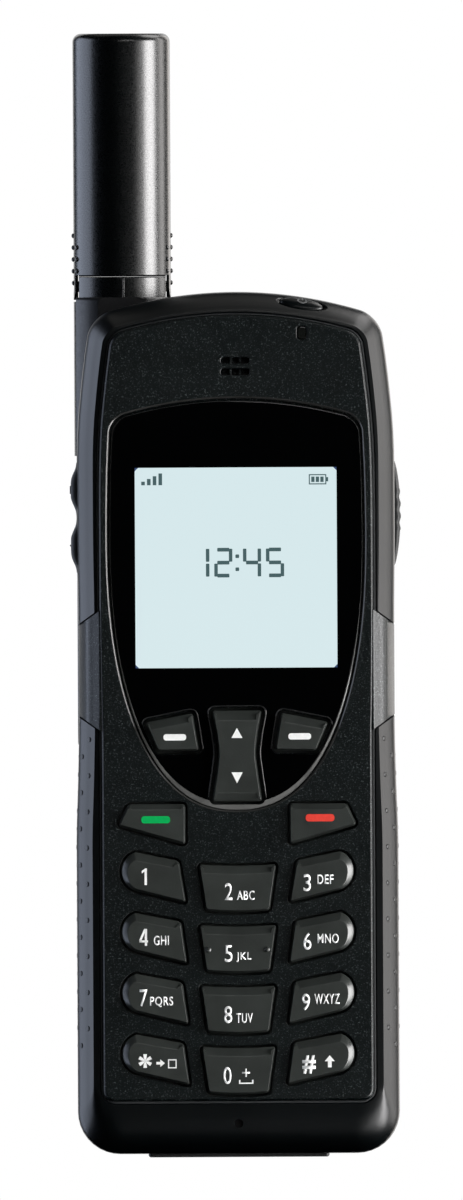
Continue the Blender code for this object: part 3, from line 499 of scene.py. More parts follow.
def outline_of(side, top, bow, bottom, inset=(0, 0, 0), r_top=3.2, r_low=7.0,
               n_side=40, n_top=26, n_arc=9):
    s, t, b = inset
    half = lambda z: table(side, z) - s
    roof = lambda x: top - t - bow * x * x
    floor = bottom + b
    corner_z = roof(half(top - 4))
    for _ in range(20):
        corner_z = roof(half(corner_z))
    corner_x = half(corner_z)
    right = conic((half(floor) - r_low, floor), (half(floor), floor),
                  (half(floor + r_low), floor + r_low), n_arc)
    low, high = floor + r_low, corner_z - r_top
    right += [(half(low + (high - low) * i / n_side), low + (high - low) * i / n_side)
              for i in range(1, n_side)]
    right += conic((half(high), high), (corner_x, corner_z),
                   (corner_x - r_top, roof(corner_x - r_top)), n_arc)
    end = corner_x - r_top
    right += [(end * (1 - i / n_top), roof(end * (1 - i / n_top)))
              for i in range(1, n_top)]
    return right + [(0.0, roof(0.0))] + [(-x, z) for x, z in reversed(right)]


def body_outline(s=0.0, t=None, b=None, r_top=3.2, r_low=7.0):
    inset = (s, s if t is None else t, s if b is None else b)
    return outline_of(BODY_SIDE, BODY_TOP, TOP_BOW, BODY_BOTTOM, inset, r_top, r_low)


def panel_outline(side=0.0, top=None, bottom=None, r_top=1.8, r_low=1.7):
    top = side if top is None else top
    bottom = side if bottom is None else bottom
    return outline_of(PANEL_SIDE, PANEL_TOP, PANEL_BOW, PANEL_BOTTOM,
                      (-side, -top, -bottom), r_top, r_low)


def lens_outline(grow=0.0, steps=44):
    half_width, knee, point, power = 21.3, 103.0, 57.3, 2.33
    roof = lambda x: 125.4 + grow - 0.0075 * x * x
    right = []
    for i in range(steps + 1):
        a = math.pi / 2 * i / steps
        u, v = math.sin(a) ** (2 / power), math.cos(a) ** (2 / power)
        right.append(((half_width + grow) * u, knee - (knee - point + grow) * v))
    right += [(half_width + grow - 0.12 * (i / 4) ** 1.5, 103.0 + 2.25 * i) for i in range(1, 5)]
    edge = half_width + grow - 0.45
    high = roof(edge) - 2.3
    right += [(half_width + grow - 0.12 - 0.33 * (i / 4) ** 1.3, 112.0 + (high - 112.0) * i / 4)
              for i in range(1, 4)]
    right += conic((edge, high), (edge - 0.15, roof(edge)),
                   (edge - 2.5, roof(edge - 2.5)), 10)
    right += [((edge - 2.5) * (1 - i / 16), roof((edge - 2.5) * (1 - i / 16)))
              for i in range(1, 16)]
    return right + [(0.0, roof(0.0))] + [(-x, z) for x, z in reversed(right[1:])]


def counter_clockwise(points):
    area = sum(a[0] * b[1] - b[0] * a[1]
               for a, b in zip(points, points[1:] + points[:1]))
    return points if area > 0 else points[::-1]


def directions(points):
    """The outward direction at each point of a counter-clockwise outline."""
    found = []
    for i, here in enumerate(points):
        before, after = points[i - 1], points[(i + 1) % len(points)]
        d1 = Vector((here[0] - before[0], here[1] - before[1]))
        d2 = Vector((after[0] - here[0], after[1] - here[1]))
        d1 = d1.normalized() if d1.length > 1e-9 else d2.normalized()
        d2 = d2.normalized() if d2.length > 1e-9 else d1
        n1, n2 = Vector((d1.y, -d1.x)), Vector((d2.y, -d2.x))
        middle = n1 + n2
        middle = middle.normalized() if middle.length > 1e-6 else n1
        found.append((middle, 1.0 / max(middle.dot(n1), 0.55)))
    return found


def grown(points, distance):
    """The outline offset outwards; distance is a number or a function of the direction."""
    found = []
    for here, (n, stretch) in zip(points, directions(points)):
        d = distance(n) if callable(distance) else distance
        found.append((here[0] + n.x * d * stretch, here[1] + n.y * d * stretch))
    return found


def rounded(points, radius, count=5):
    found = []
    for i, here in enumerate(points):
        before, after = Vector(points[i - 1]), Vector(points[(i + 1) % len(points)])
        at = Vector(here)
        a = (before - at).normalized() * min(radius, (before - at).length * 0.45)
        b = (after - at).normalized() * min(radius, (after - at).length * 0.45)
        found += conic(tuple(at + a), tuple(at), tuple(at + b), count)
    return found


def mirrored(points):
    return [(-x, z) for x, z in reversed(points)]


def rect(x0, z0, x1, z1, radius=0.0, count=5):
    points = [(x0, z0), (x1, z0), (x1, z1), (x0, z1)]
    return rounded(points, radius, count) if radius else points


def at_y(points, y):
    return [(x, y, z) for x, z in points]


def stack(name, outline, steps, mat=None):
    """A body whose outline changes through (y, growth) steps."""
    return tube(name, [at_y(grown(outline, g), y) for y, g in steps], mat)


def stadium(length, width, count=14):
    r, half = width / 2, (length - width) / 2
    right = [(half + r * math.sin(math.pi * i / count), -r * math.cos(math.pi * i / count))
             for i in range(count + 1)]
    return right + [(-x, -y) for x, y in right]


# ----------------------------------------------------------- key outlines
SIDE_IN_TOP = (9.7, 9.4, 9.2, 9.03)
SIDE_IN_LOW = (8.54, 8.4, 8.2, 8.05)
MID_TOP = (6.4, 6.36, 6.19, 6.12)
MID_LOW = (5.27, 5.26, 5.09, 4.98)


def side_key(row):
    z = 50.4 - ROW_PITCH * row
    centre, radius = (15.85, z - 3.12), 3.35
    end = [(centre[0] + radius * math.cos(math.radians(a)),
            centre[1] + radius * math.sin(math.radians(a)))
           for a in range(-72, 73, 8)]
    top, low = (SIDE_IN_TOP[row], z - 1.4), (SIDE_IN_LOW[row], z - 8.4)
    corner_top = conic((top[0] + 0.6, top[1] + 0.1), top, (top[0] - 0.1, top[1] - 0.6), 5)
    corner_low = conic((low[0] + 0.1, low[1] + 0.6), low, (low[0] + 0.6, low[1] + 0.17), 5)
    return corner_top + corner_low + end


def middle_key(row):
    top, low = 48.4 - ROW_PITCH * row, 40.75 - ROW_PITCH * row
    a, b = MID_TOP[row], MID_LOW[row]
    points = [(-b, low)] + [(b * k / 4, low - 0.3 * (1 - (k / 4) ** 2)) for k in range(-3, 4)]
    points += [(b, low), (a, top)]
    points += [(a * k / 4, top - 0.25 * (1 - (k / 4) ** 2)) for k in range(3, -4, -1)]
    points += [(-a, top)]
    return rounded(points, 0.55, 4)


CALL = rounded([(-8.62, 58.4), (-18.1, 58.4), (-19.75, 54.8), (-8.62, 51.6)], 0.6)
SOFT = rounded([(-7.3, 73.4), (-15.1, 71.85), (-13.05, 67.1), (-6.3, 67.2)], 0.5)
nav_side = [(4.13, 58.8), (3.86, 60.6), (3.42, 63.6), (3.12, 65.9), (3.06, 66.8),
            (3.12, 67.7), (3.42, 70.0), (3.85, 72.3), (4.12, 73.8)]
NAV = rounded(nav_side + mirrored(nav_side), 0.5, 4)

KEYS = {}
for row in range(4):
    left, mid, right = (("key_1", "key_2", "key_3"), ("key_4", "key_5", "key_6"),
                        ("key_7", "key_8", "key_9"),
                        ("key_star", "key_0", "key_hash"))[row]
    KEYS[left] = mirrored(side_key(row))
    KEYS[mid] = middle_key(row)
    KEYS[right] = side_key(row)
KEYS["key_call"] = CALL
KEYS["key_end"] = mirrored(CALL)
KEYS["softkey_left"] = SOFT
KEYS["softkey_right"] = mirrored(SOFT)
KEYS["nav_key"] = NAV
KEYS = {name: counter_clockwise(points) for name, points in KEYS.items()}
UNDER_LENS = ("softkey_left", "softkey_right", "nav_key")


# ------------------------------------------------------------ casing rings
FRONT_LEVELS = (
    (PARTING_Y, 0.12, 0.12, 0.0), (-7.6, 0.0, 0.0, 0.0), (-9.4, 0.22, 0.3, 0.55),
    (-11.2, 1.15, 1.25, 1.8), (-12.4, 1.95, 2.1, 3.5), (-13.1, 2.42, 2.68, 5.6),
    (-13.4, 2.62, 2.92, 7.45))
WAIST_LEVELS = (
    (PARTING_Y, 0.12, 0.12, 0.0), (-6.0, 0.0, 0.0, 0.0), (-8.0, 0.3, 0.3, 0.55),
    (-10.2, 0.85, 1.25, 1.8), (-11.9, 1.45, 2.1, 3.5), (-12.9, 2.45, 2.68, 5.6),
    (-13.8, 3.42, 2.92, 7.45))
REAR_LEVELS = (
    (PARTING_Y + GAP, 0.12, 0.12, 0.0), (2.0, 0.1, 0.2, 0.0), (7.0, 0.45, 0.7, 0.0),
    (10.0, 1.2, 1.7, 0.5), (11.8, 2.4, 3.0, 1.8), (13.0, 4.2, 4.8, 3.9),
    (BACK_Y, 6.4, 7.2, 6.2))


def between(levels, per=4):
    """The levels with smooth ones added between them."""
    found = []
    for i in range(len(levels) - 1):
        a, b = levels[i], levels[i + 1]
        before = levels[max(i - 1, 0)]
        after = levels[min(i + 2, len(levels) - 1)]
        for k in range(per):
            t = k / per
            found.append(tuple(
                0.5 * (2 * q + (r - p) * t + (2 * p - 5 * q + 4 * r - s) * t * t
                       + (3 * q - p - 3 * r + s) * t ** 3)
                for p, q, r, s in zip(before, a, b, after)))
    return found + [levels[-1]]


def casing(levels, per=4):
    rings = []
    for y, s, t, b in between(levels, per):
        s, t, b = max(s, 0.0), max(t, 0.0), max(b, 0.0)
        rings.append(at_y(body_outline(s, t, b, max(1.2, 3.2 - 0.4 * s),
                                       max(4.0, 7.0 - 0.4 * b)), y))
    return rings


# the bezel is one ring round the panel, later cut in two at the waist
def bezel_ring(name):
    rings = casing(FRONT_LEVELS)
    groove = lambda d: panel_outline(0.56 + d, 0.52 + d, 0.62 + d, 2.0, 2.6)
    shelf = lambda d: panel_outline(d, d, d, 1.85, 1.9)
    rings += [at_y(groove(0.15), -13.47), at_y(groove(0.08), -13.47),
              at_y(groove(0.02), -13.40), at_y(groove(-0.05), -13.24),
              at_y(groove(-0.10), -13.16), at_y(groove(-0.15), -13.14),
              at_y(shelf(0.20), -13.12), at_y(shelf(0.14), -13.06),
              at_y(shelf(0.11), -12.95), at_y(shelf(0.11), -12.0)]
    rings += [at_y(panel_outline(-0.4), -11.65),
              at_y(body_outline(1.8, 1.8, 2.9, 2.2, 5.5), -9.3),
              at_y(body_outline(1.8, 1.8, 2.9, 2.2, 5.5), PARTING_Y)]
    return tube(name, rings, GRIP, closed=True)


def keep_slab(name, points, low=-30.0, high=10.0):
    return tube(name, [at_y(points, low), at_y(points, high)])


# a gasket fills the groove between panel and bezel; its grey is partly the gasket's own colour and
# partly painted light on the groove floor, which lies in shade
gasket_ring = tube("panel_gasket", [
    at_y(panel_outline(0.44, 0.40, 0.50, 2.0, 2.5), -12.9),
    at_y(panel_outline(0.44, 0.40, 0.50, 2.0, 2.5), -13.27),
    at_y(panel_outline(0.38, 0.34, 0.44, 2.0, 2.4), -13.31),
    at_y(panel_outline(0.18, 0.18, 0.18, 1.85, 1.9), -13.34),
    at_y(panel_outline(0.12, 0.12, 0.12, 1.85, 1.8), -13.30),
    at_y(panel_outline(0.12, 0.12, 0.12, 1.85, 1.8), -12.9)],
    plastic("gasket_grey_painted_light", (0.019, 0.022, 0.024), 0.4, 3300.0, 0.02, 0.6), closed=True)
shaded(gasket_ring)
piece(gasket_ring, "housing", "rubber")

low_keep = [(-40, -20), (40, -20), (40.0, WAIST_LOW - GAP / 2 + 17.6 * WAIST_SLOPE),
            (22.4, WAIST_LOW - GAP / 2), (-22.4, WAIST_LOW - GAP / 2),
            (-40.0, WAIST_LOW - GAP / 2 + 17.6 * WAIST_SLOPE)]
high_keep = [(40.0, 170.0), (-40.0, 170.0),
             (-40.0, WAIST_HIGH + GAP / 2 - 17.6 * WAIST_SLOPE),
             (-22.4, WAIST_HIGH + GAP / 2), (22.4, WAIST_HIGH + GAP / 2),
             (40.0, WAIST_HIGH + GAP / 2 - 17.6 * WAIST_SLOPE)]

lower_bezel = bezel_ring("lower_bezel_shell")
carve(lower_bezel, keep_slab("low_keep", low_keep), operation="INTERSECT")
dock_hole = tube("dock_room", [[(x, y, z) for x, y in rect(-15.2, -7.25, 15.2, 9.3, 0.6)]
                               for z in (-5.0, 2.1)])
carve(lower_bezel, dock_hole, rod("mic_room", (0, -20, 5.5), (0, -8.6, 5.5), 0.70, 40))
shaded(lower_bezel)
piece(lower_bezel, "housing", "grip", "lower_bezel")

upper_bezel = bezel_ring("upper_bezel_shell")
carve(upper_bezel, keep_slab("high_keep", high_keep), operation="INTERSECT")
carve(upper_bezel, block("rocker_room", (-34, -8.5, 95.9), (-22.0, -3.9, 115.7)))

POWER_AT = Vector((11.1, -11.05, 141.2))
POWER_N = Vector((0.14, -0.54, 0.83)).normalized()
power_u = Vector((1, 0, -0.16)).normalized()
power_v = POWER_N.cross(power_u).normalized()
power_u = power_v.cross(POWER_N).normalized()
POWER_FRAME = Matrix((
    (power_u.x, power_v.x, POWER_N.x, POWER_AT.x * MM),
    (power_u.y, power_v.y, POWER_N.y, POWER_AT.y * MM),
    (power_u.z, power_v.z, POWER_N.z, POWER_AT.z * MM), (0, 0, 0, 1)))


def in_frame(obj, matrix):
    obj.data.transform(matrix)
    return obj


flat = lambda points, z: [(x, y, z) for x, y in points]


def oval(a, b, count=72):
    return [(a * math.cos(2 * math.pi * i / count), b * math.sin(2 * math.pi * i / count))
            for i in range(count)]


# an eye-shaped dish with a domed button standing in it
power_dish = in_frame(tube("power_dish", [
    flat(oval(3.5, 1.45), -0.85), flat(oval(4.25, 1.75), -0.45), flat(oval(4.5, 1.86), -0.12),
    flat(oval(4.62, 1.95), 0.1), flat(oval(5.2, 2.4), 1.6)]), POWER_FRAME)
power_room = in_frame(tube("power_room", [flat(oval(3.75, 1.6), -3.0),
                                          flat(oval(3.75, 1.6), 1.0)]), POWER_FRAME)
carve(upper_bezel, power_dish, power_room)
shaded(upper_bezel)
piece(upper_bezel, "housing", "grip", "upper_bezel")

button = tube("power_button_cap", [
    flat(oval(3.6, 1.45), -2.6), flat(oval(3.6, 1.45), -0.62), flat(oval(3.55, 1.42), -0.42),
    flat(oval(3.4, 1.32), -0.2), flat(oval(3.1, 1.12), 0.0), flat(oval(2.5, 0.85), 0.17),
    flat(oval(1.6, 0.5), 0.27), flat(oval(0.7, 0.2), 0.3)], GRIP)
in_frame(button, POWER_FRAME)
shaded(button)
piece(button, "power", "keycap", "power_button")


# ----------------------------------------------------------- front panel
def flared(name, outline, floor, lip=0.14, front=PANEL_FRONT):
    """A cutter that opens out where it meets the front face, which rounds its edge."""
    return stack(name, outline, ((floor, 0.0), (front + lip, 0.0),
                                 (front + 0.45 * lip, 0.12 * lip),
                                 (front + 0.12 * lip, 0.45 * lip),
                                 (front - 0.02, lip + 0.02), (front - 3.0, lip + 0.1)))


panel = tube("panel_shell", [
    at_y(panel_outline(0.05), PANEL_BACK), at_y(panel_outline(0.05), PANEL_FRONT + 0.42),
    at_y(panel_outline(0.02), PANEL_FRONT + 0.31),
    at_y(panel_outline(-0.21), PANEL_FRONT + 0.06),
    at_y(panel_outline(-0.27), PANEL_FRONT + 0.015),
    at_y(panel_outline(-0.36), PANEL_FRONT)], PANEL)
# the panel widens at the waist into wings that wrap round the sides
rings = casing(WAIST_LEVELS)
rings += [at_y(body_outline(3.52, 3.0, 7.5, 1.8, 4.0), -13.84),
          at_y(body_outline(3.8, 3.3, 7.8, 1.7, 4.0), -13.8),
          at_y(body_outline(3.9, 3.4, 7.9, 1.7, 4.0), -12.4),
          at_y(body_outline(1.8, 1.8, 2.9, 2.2, 5.5), -9.3),
          at_y(body_outline(1.8, 1.8, 2.9, 2.2, 5.5), PARTING_Y)]
wings = tube("wings", rings, PANEL, closed=True)
g = -GAP / 2
waist_right = [(22.4, WAIST_HIGH + g), (34.0, WAIST_HIGH - 11.6 * WAIST_SLOPE + g),
               (34.0, WAIST_LOW + 11.6 * WAIST_SLOPE - g), (22.4, WAIST_LOW - g)]
waist_left = [(-x, z) for x, z in reversed(waist_right)]
wing_keep = joined("wing_keep", [
    keep_slab("keep_r", [(21.9, WAIST_HIGH + g)] + waist_right + [(21.9, WAIST_LOW - g)]),
    keep_slab("keep_l", [(-21.9, WAIST_LOW - g)] + waist_left + [(-21.9, WAIST_HIGH + g)])])
carve(wings, wing_keep, operation="INTERSECT")
carve(panel, wings, operation="UNION")
LENS_RIM = counter_clockwise(lens_outline())
carve(panel, stack("lens_room", LENS_RIM, ((RECESS_FLOOR, 0.36), (PANEL_FRONT - 3.0, 0.36))))
cutters = [keep_slab("window", rect(-17.3, 80.2, 17.3, 114.7), -13.0, -9.0)]
for name, points in KEYS.items():
    if name in UNDER_LENS:
        cutters.append(keep_slab(name + "_room", grown(points, KEY_GAP), -13.5, -8.0))
    else:
        cutters.append(flared(name + "_room", grown(points, KEY_GAP), -8.0, 0.13))
for i, (low, high) in enumerate(((129.2, 130.35), (131.1, 132.2))):
    cutters.append(flared(f"ear_slot_{i}", rect(-2.4, low, 2.4, high, 0.5), -8.0, 0.16))
cutters.append(flared("light_room", rect(10.2, 135.0, 11.9, 137.3, 0.5), -8.0, 0.14))
carve(panel, joined("panel_cutters", cutters))
shaded(panel)
piece(panel, "housing", "panel", "front_cover")

# a polished trim lines the recess, and slopes down into it
trim = tube("lens_trim", [
    at_y(grown(LENS_RIM, 0.35), RECESS_FLOOR), at_y(grown(LENS_RIM, 0.35), -13.97),
    at_y(grown(LENS_RIM, 0.325), -14.01), at_y(grown(LENS_RIM, 0.25), -14.015),
    at_y(grown(LENS_RIM, 0.05), -13.84), at_y(grown(LENS_RIM, 0.0), -13.70),
    at_y(grown(LENS_RIM, 0.0), RECESS_FLOOR)], TRIM, closed=True)
shaded(trim, 30)
piece(trim, "housing", "lens")

# two bars show inside the earpiece slots, and a dark mesh behind them
bars = []
for low, high in ((129.2, 130.35), (131.1, 132.2)):
    for x in (-0.78, 0.78):
        bars.append(stack("bar", rect(x - 0.2, low - 0.4, x + 0.2, high + 0.4, 0.08),
                          ((-12.1, 0.0), (-13.2, 0.0), (-13.32, -0.1))))
bars.append(stack("ear_back", rect(-3.4, 128.4, 3.4, 133.0, 0.4),
                  ((-11.75, 0.0), (-12.0, 0.0), (-12.1, -0.1)), HOLE))
ear = joined("earpiece_bars", bars)
ear.data.materials[0] = PANEL
shaded(ear)
piece(ear, "housing", "rubber")

light = stack("light_window", rect(10.32, 135.12, 11.78, 137.18, 0.45),
              ((-11.6, 0.0), (-13.75, 0.0), (-13.86, -0.06), (-13.9, -0.2)), SMOKE)
shaded(light)
piece(light, "housing", "light_guide", "light_pipe")


# ------------------------------------------------------------------ lens
def lip_width(most):
    """Wide at the low point of the shield, narrow up its sides."""
    return lambda n: -(0.035 + most * max(0.0, -n.y) ** 1.5)


lens_edge = counter_clockwise(lens_outline(-0.42))
band_in = lip_width(0.62)
band_out = lambda n: 0.34 * max(0.0, -n.y) ** 1.2
lens_top = grown(lens_edge, lambda n: band_in(n) - 0.05)
lens = tube("lens_shell", [
    at_y(lens_top, LENS_BACK), at_y(lens_top, LENS_FRONT + 0.06),
    at_y(grown(lens_edge, lambda n: band_in(n) - 0.09), LENS_FRONT + 0.015),
    at_y(grown(lens_edge, lambda n: band_in(n) - 0.15), LENS_FRONT)], GLOSS)
# the grey band round the lens edge, widest at the bottom, is a painted reflection of the pale
# floor in the lens's lower chamfer
band = tube("lens_band", [
    at_y(grown(lens_edge, band_out), LENS_BACK),
    at_y(grown(lens_edge, band_out), LENS_FRONT + 0.20),
    at_y(grown(lens_edge, lambda n: band_out(n) * 0.8), LENS_FRONT + 0.10),
    at_y(grown(lens_edge, lambda n: band_in(n) * 0.85), LENS_FRONT + 0.01),
    at_y(grown(lens_edge, band_in), LENS_FRONT + 0.03),
    at_y(grown(lens_edge, band_in), LENS_BACK)], REFLECTION_BAND, closed=True)
carve(band, keep_slab("nav_room", grown(KEYS["nav_key"], 0.55), -20.0, -10.0))
shaded(band, 34)
piece(band, "housing", "lens")
cutters = [flared(name + "_lens_room", grown(KEYS[name], 0.6), -12.0, 0.04, LENS_FRONT)
           for name in UNDER_LENS]
SCREEN_RECT = (-16.72, 80.82, 16.72, 114.02)
cutters.append(keep_slab("screen_room", rect(*SCREEN_RECT), -20.0, -13.45))
carve(lens, joined("lens_cutters", cutters))
shaded(lens)
piece(lens, "housing", "lens", "lens")

# a fine raised lip stands along each opening in the lens, on all but its lower edge
def lip(name, outline, y, radius, mat, sides=8):
    rings = []
    ways = directions(outline)
    for k in range(sides):
        a = 2 * math.pi * k / sides
        out, up = radius * math.cos(a), radius * 0.8 * math.sin(a)
        rings.append([(p[0] + n.x * out, y + up, p[1] + n.y * out)
                      for p, (n, _) in zip(outline, ways)])
    return tube(name, rings, mat, closed=True)


def open_lip(name, path, y, radius, sides=8):
    """A lip that follows part of an outline; path holds points and outward directions."""
    rings = []
    for k, (p, n) in enumerate(path):
        ends = min(k, len(path) - 1 - k)
        r = radius * min(1.0, 0.25 + 0.25 * ends)
        rings.append([(p[0] + n.x * r * math.cos(2 * math.pi * i / sides),
                       y + 0.8 * r * math.sin(2 * math.pi * i / sides),
                       p[1] + n.y * r * math.cos(2 * math.pi * i / sides))
                      for i in range(sides)])
    return tube(name, rings, LIP)


LIP = gloss("lip_black", (0.02, 0.021, 0.022), 0.26, 0.3)
lips = []
for name in UNDER_LENS:
    line = grown(KEYS[name], 0.76)
    ways = [n for n, _ in directions(line)]
    keep = [n.y > -0.25 for n in ways]
    first = next(i for i in range(len(line)) if keep[i] and not keep[i - 1])
    path = []
    for i in range(len(line)):
        k = (first + i) % len(line)
        if not keep[k]:
            break
        path.append((line[k], ways[k]))
    lips.append(open_lip(name + "_lip", path, LENS_FRONT - 0.015, 0.095))
lips = joined("lens_lips", lips)
lips.data.materials[0] = LIP
shaded(lips, 60)
piece(lips, "housing", "lens")

x0, z0, x1, z1 = SCREEN_RECT
screen = stack("screen_face", rect(x0 + 0.04, z0 + 0.04, x1 - 0.04, z1 - 0.04),
               ((-13.5, 0.0), (-13.76, 0.0), (-13.78, -0.02)), SCREEN)
shaded(screen)
piece(screen, "housing", "screen")
corners = []
for sx, cx in ((1, x0), (-1, x1)):
    for sz, cz in ((1, z0), (-1, z1)):
        points = counter_clockwise([(cx + sx * 0.04, cz + sz * 0.04),
                                    (cx + sx * 0.6, cz + sz * 0.04),
                                    (cx + sx * 0.04, cz + sz * 0.6)])
        corners.append(stack("corner", points, ((-13.7, 0.0), (-13.81, 0.0))))
corners = joined("screen_corners", corners)
corners.data.materials[0] = EDGE_BLUE
piece(corners, "housing", "screen")


# ------------------------------------------------------------- key caps
def crown(top, side, low, outer=0.0, way=0.0):
    """How far the face lies in from the outline, by direction."""
    def width(n):
        up, down = max(0.0, n.y), max(0.0, -n.y)
        return (side + (top - side) * up ** 2.0 + (low - side) * down ** 2.2
                + outer * max(0.0, n.x * way) ** 2.4)
    return width


def key_cap(name, top_y, wide_top, wide_low, side=0.2, edge=-13.98, outer=0.0):
    outline = KEYS[name]
    width = crown(wide_top, side, wide_low, outer, math.copysign(1.0, outline[0][0]))
    deep = lambda n: 0.0
    rings = [at_y(outline, FLANGE_FRONT + 0.2), at_y(outline, edge)]
    # a tight round at the outer edge, a long slope, and a tight round on to the face
    for y_share, in_share, fixed in ((0.13, 0.03, 0.03), (0.26, 0.10, 0.07),
                                     (0.93, 0.90, 0.0), (0.965, 0.95, 0.0),
                                     (0.99, 1.0, 0.0), (1.0, 1.07, 0.0)):
        y = edge + (top_y - edge) * y_share
        rings.append(at_y(grown(outline, lambda n: -(width(n) * in_share + fixed
                                                      if in_share < 0.5
                                                      else width(n) * in_share)), y))
    cap = tube(name + "_top", rings, KEYCAP)
    return cap


def body_of_key(name):
    return "nav" if name == "nav_key" else name + "_cap"


for name, points in KEYS.items():
    if name == "nav_key":
        cap = key_cap(name, KEY_TOP - 0.05, 1.7, 1.45, 0.22)
    elif name in ("softkey_left", "softkey_right"):
        cap = key_cap(name, KEY_TOP, 1.45, 0.3)
    elif name in ("key_call", "key_end"):
        cap = key_cap(name, KEY_TOP, 0.95, 0.42)
    elif name in ("key_2", "key_5", "key_8", "key_0"):
        cap = key_cap(name, KEY_TOP, 1.4, 0.36)
    else:
        cap = key_cap(name, KEY_TOP, 1.35, 0.34, outer=0.85)
    flange = stack(name + "_foot",
                   grown(points, KEY_GAP + (0.35 if name in UNDER_LENS else 0.6)),
                   ((FLANGE_FRONT + (0.25 if name == "nav_key" else 0.0), 0.0),
                    (KEY_BACK, 0.0)), KEYCAP)
    cap = carve(cap, flange, operation="UNION")
    shaded(cap, 28)
    piece(cap, body_of_key(name), "keycap", name)


# --------------------------------------------------------------- legends
def flat_shape(name, outlines, y, height, mat):
    """Filled outlines (x, z) standing height proud of the plane y."""
    parts = []
    for points in outlines:
        points = counter_clockwise(points)
        parts.append(tube(name, [at_y(points, y + 0.02), at_y(points, y - height)]))
    obj = joined(name, parts)
    obj.data.materials[0] = mat
    return obj


def lettering(name, text, x0, x1, z0, z1, y, mat, weight=0.012, height=0.05):
    """A generic printed legend that fills a box."""
    data = bpy.data.curves.new(name, "FONT")
    data.body = text
    data.size = 0.01
    data.offset = weight * 0.01
    data.resolution_u = 6
    data.space_character = 1.12 if len(text) > 1 else 1.0
    obj = bpy.data.objects.new(name, data)
    bpy.context.scene.collection.objects.link(obj)
    bpy.context.view_layer.update()
    dg = bpy.context.evaluated_depsgraph_get()
    mesh = bpy.data.meshes.new_from_object(obj.evaluated_get(dg))
    bpy.data.objects.remove(obj, do_unlink=True)
    xs, ys = [v.co.x for v in mesh.vertices], [v.co.y for v in mesh.vertices]
    low, high = Vector((min(xs), min(ys))), Vector((max(xs), max(ys)))
    bm = bmesh.new()
    bm.from_mesh(mesh)
    bpy.data.meshes.remove(mesh)
    bmesh.ops.remove_doubles(bm, verts=bm.verts, dist=1e-6)
    for v in bm.verts:
        u = (v.co.x - low.x) / (high.x - low.x)
        w = (v.co.y - low.y) / (high.y - low.y)
        v.co = Vector(((x0 + (x1 - x0) * u), y + 0.005, (z0 + (z1 - z0) * w))) * MM
    made = bmesh.ops.extrude_face_region(bm, geom=list(bm.faces))
    moved = [e for e in made["geom"] if isinstance(e, bmesh.types.BMVert)]
    bmesh.ops.translate(bm, verts=moved, vec=(0, -(height + 0.005) * MM, 0))
    return new_object(name, bm, mat)


def bar(x0, z0, x1, z1, radius=0.35):
    return rounded([(x0, z0), (x1, z0), (x1, z1), (x0, z1)], radius, 5)


LEGENDS = {
    "key_1": [("1", -15.85, -15.0, 45.04, 47.77)],
    "key_2": [("2", -2.13, -0.88, 42.48, 45.29), ("ABC", -0.15, 2.76, 42.48, 44.03)],
    "key_3": [("3", 10.86, 12.1, 43.87, 46.71), ("DEF", 13.17, 15.82, 45.06, 46.62)],
    "key_4": [("4", -16.31, -14.98, 34.99, 37.79), ("GHI", -13.93, -11.45, 35.06, 36.66)],
    "key_5": [("5", -2.2, -0.94, 32.23, 35.04), ("JKL", -0.31, 2.18, 32.23, 33.85)],
    "key_6": [("6", 10.81, 12.1, 34.21, 37.02), ("MNO", 13.14, 16.64, 35.25, 36.84)],
    "key_7": [("7", -16.31, -15.02, 24.96, 27.77), ("PQRS", -14.6, -10.79, 24.83, 26.58)],
    "key_8": [("8", -2.36, -1.04, 22.15, 24.96), ("TUV", -0.38, 2.38, 22.15, 23.77)],
    "key_9": [("9", 10.53, 11.85, 24.16, 26.94), ("WXYZ", 12.58, 16.76, 25.22, 26.90)],
    "key_0": [("0", -2.53, -1.21, 12.07, 14.88), ("+", 0.55, 1.85, 13.25, 14.6)],
    "key_hash": [("#", 10.5, 12.73, 13.72, 16.74)],
}
TOP = KEY_TOP
for name, words in LEGENDS.items():
    parts = []
    for k, (text, a, b, c, d) in enumerate(words):
        if text == "1":
            parts.append(flat_shape("one", [[(b - 0.4, c), (b, c), (b, d), (b - 0.3, d),
                                             (a, d - 0.42), (a, d - 0.82), (b - 0.4, d - 0.52)]],
                                    TOP, 0.05, WHITE))
            continue
        if text == "4":
            parts += [flat_shape("four", [points], TOP, 0.05, WHITE) for points in (
                rect(b - 0.42, c, b - 0.05, d), rect(a, c + 0.55, b + 0.1, c + 0.9),
                [(a, c + 0.55), (a, c + 1.0), (b - 0.5, d), (b - 0.12, d), (a + 0.4, c + 1.0),
                 (a + 0.4, c + 0.55)])]
            continue
        weight = 0.032 if text == "#" else 0.006 if len(text) == 1 else 0.012
        parts.append(lettering(f"{name}_mark_{k}", text, a, b, c, d, TOP, WHITE, weight))
    if name == "key_0":
        for points in (rect(0.05, 12.07, 2.43, 12.3), rect(0.05, 12.3, 0.28, 12.75),
                       rect(2.2, 12.3, 2.43, 12.75)):
            parts.append(flat_shape("space", [points], TOP, 0.05, WHITE))
    if name == "key_hash":
        parts.append(flat_shape("shift", [[(14.75, 14.74), (15.38, 14.74), (15.38, 15.75),
                                           (15.9, 15.75), (15.065, 16.74), (14.23, 15.75),
                                           (14.75, 15.75)]], TOP, 0.05, WHITE))
    if name == "key_1":
        pass
    marks = joined(name + "_legend", parts)
    marks.data.materials[0] = WHITE
    piece(marks, body_of_key(name), "card")

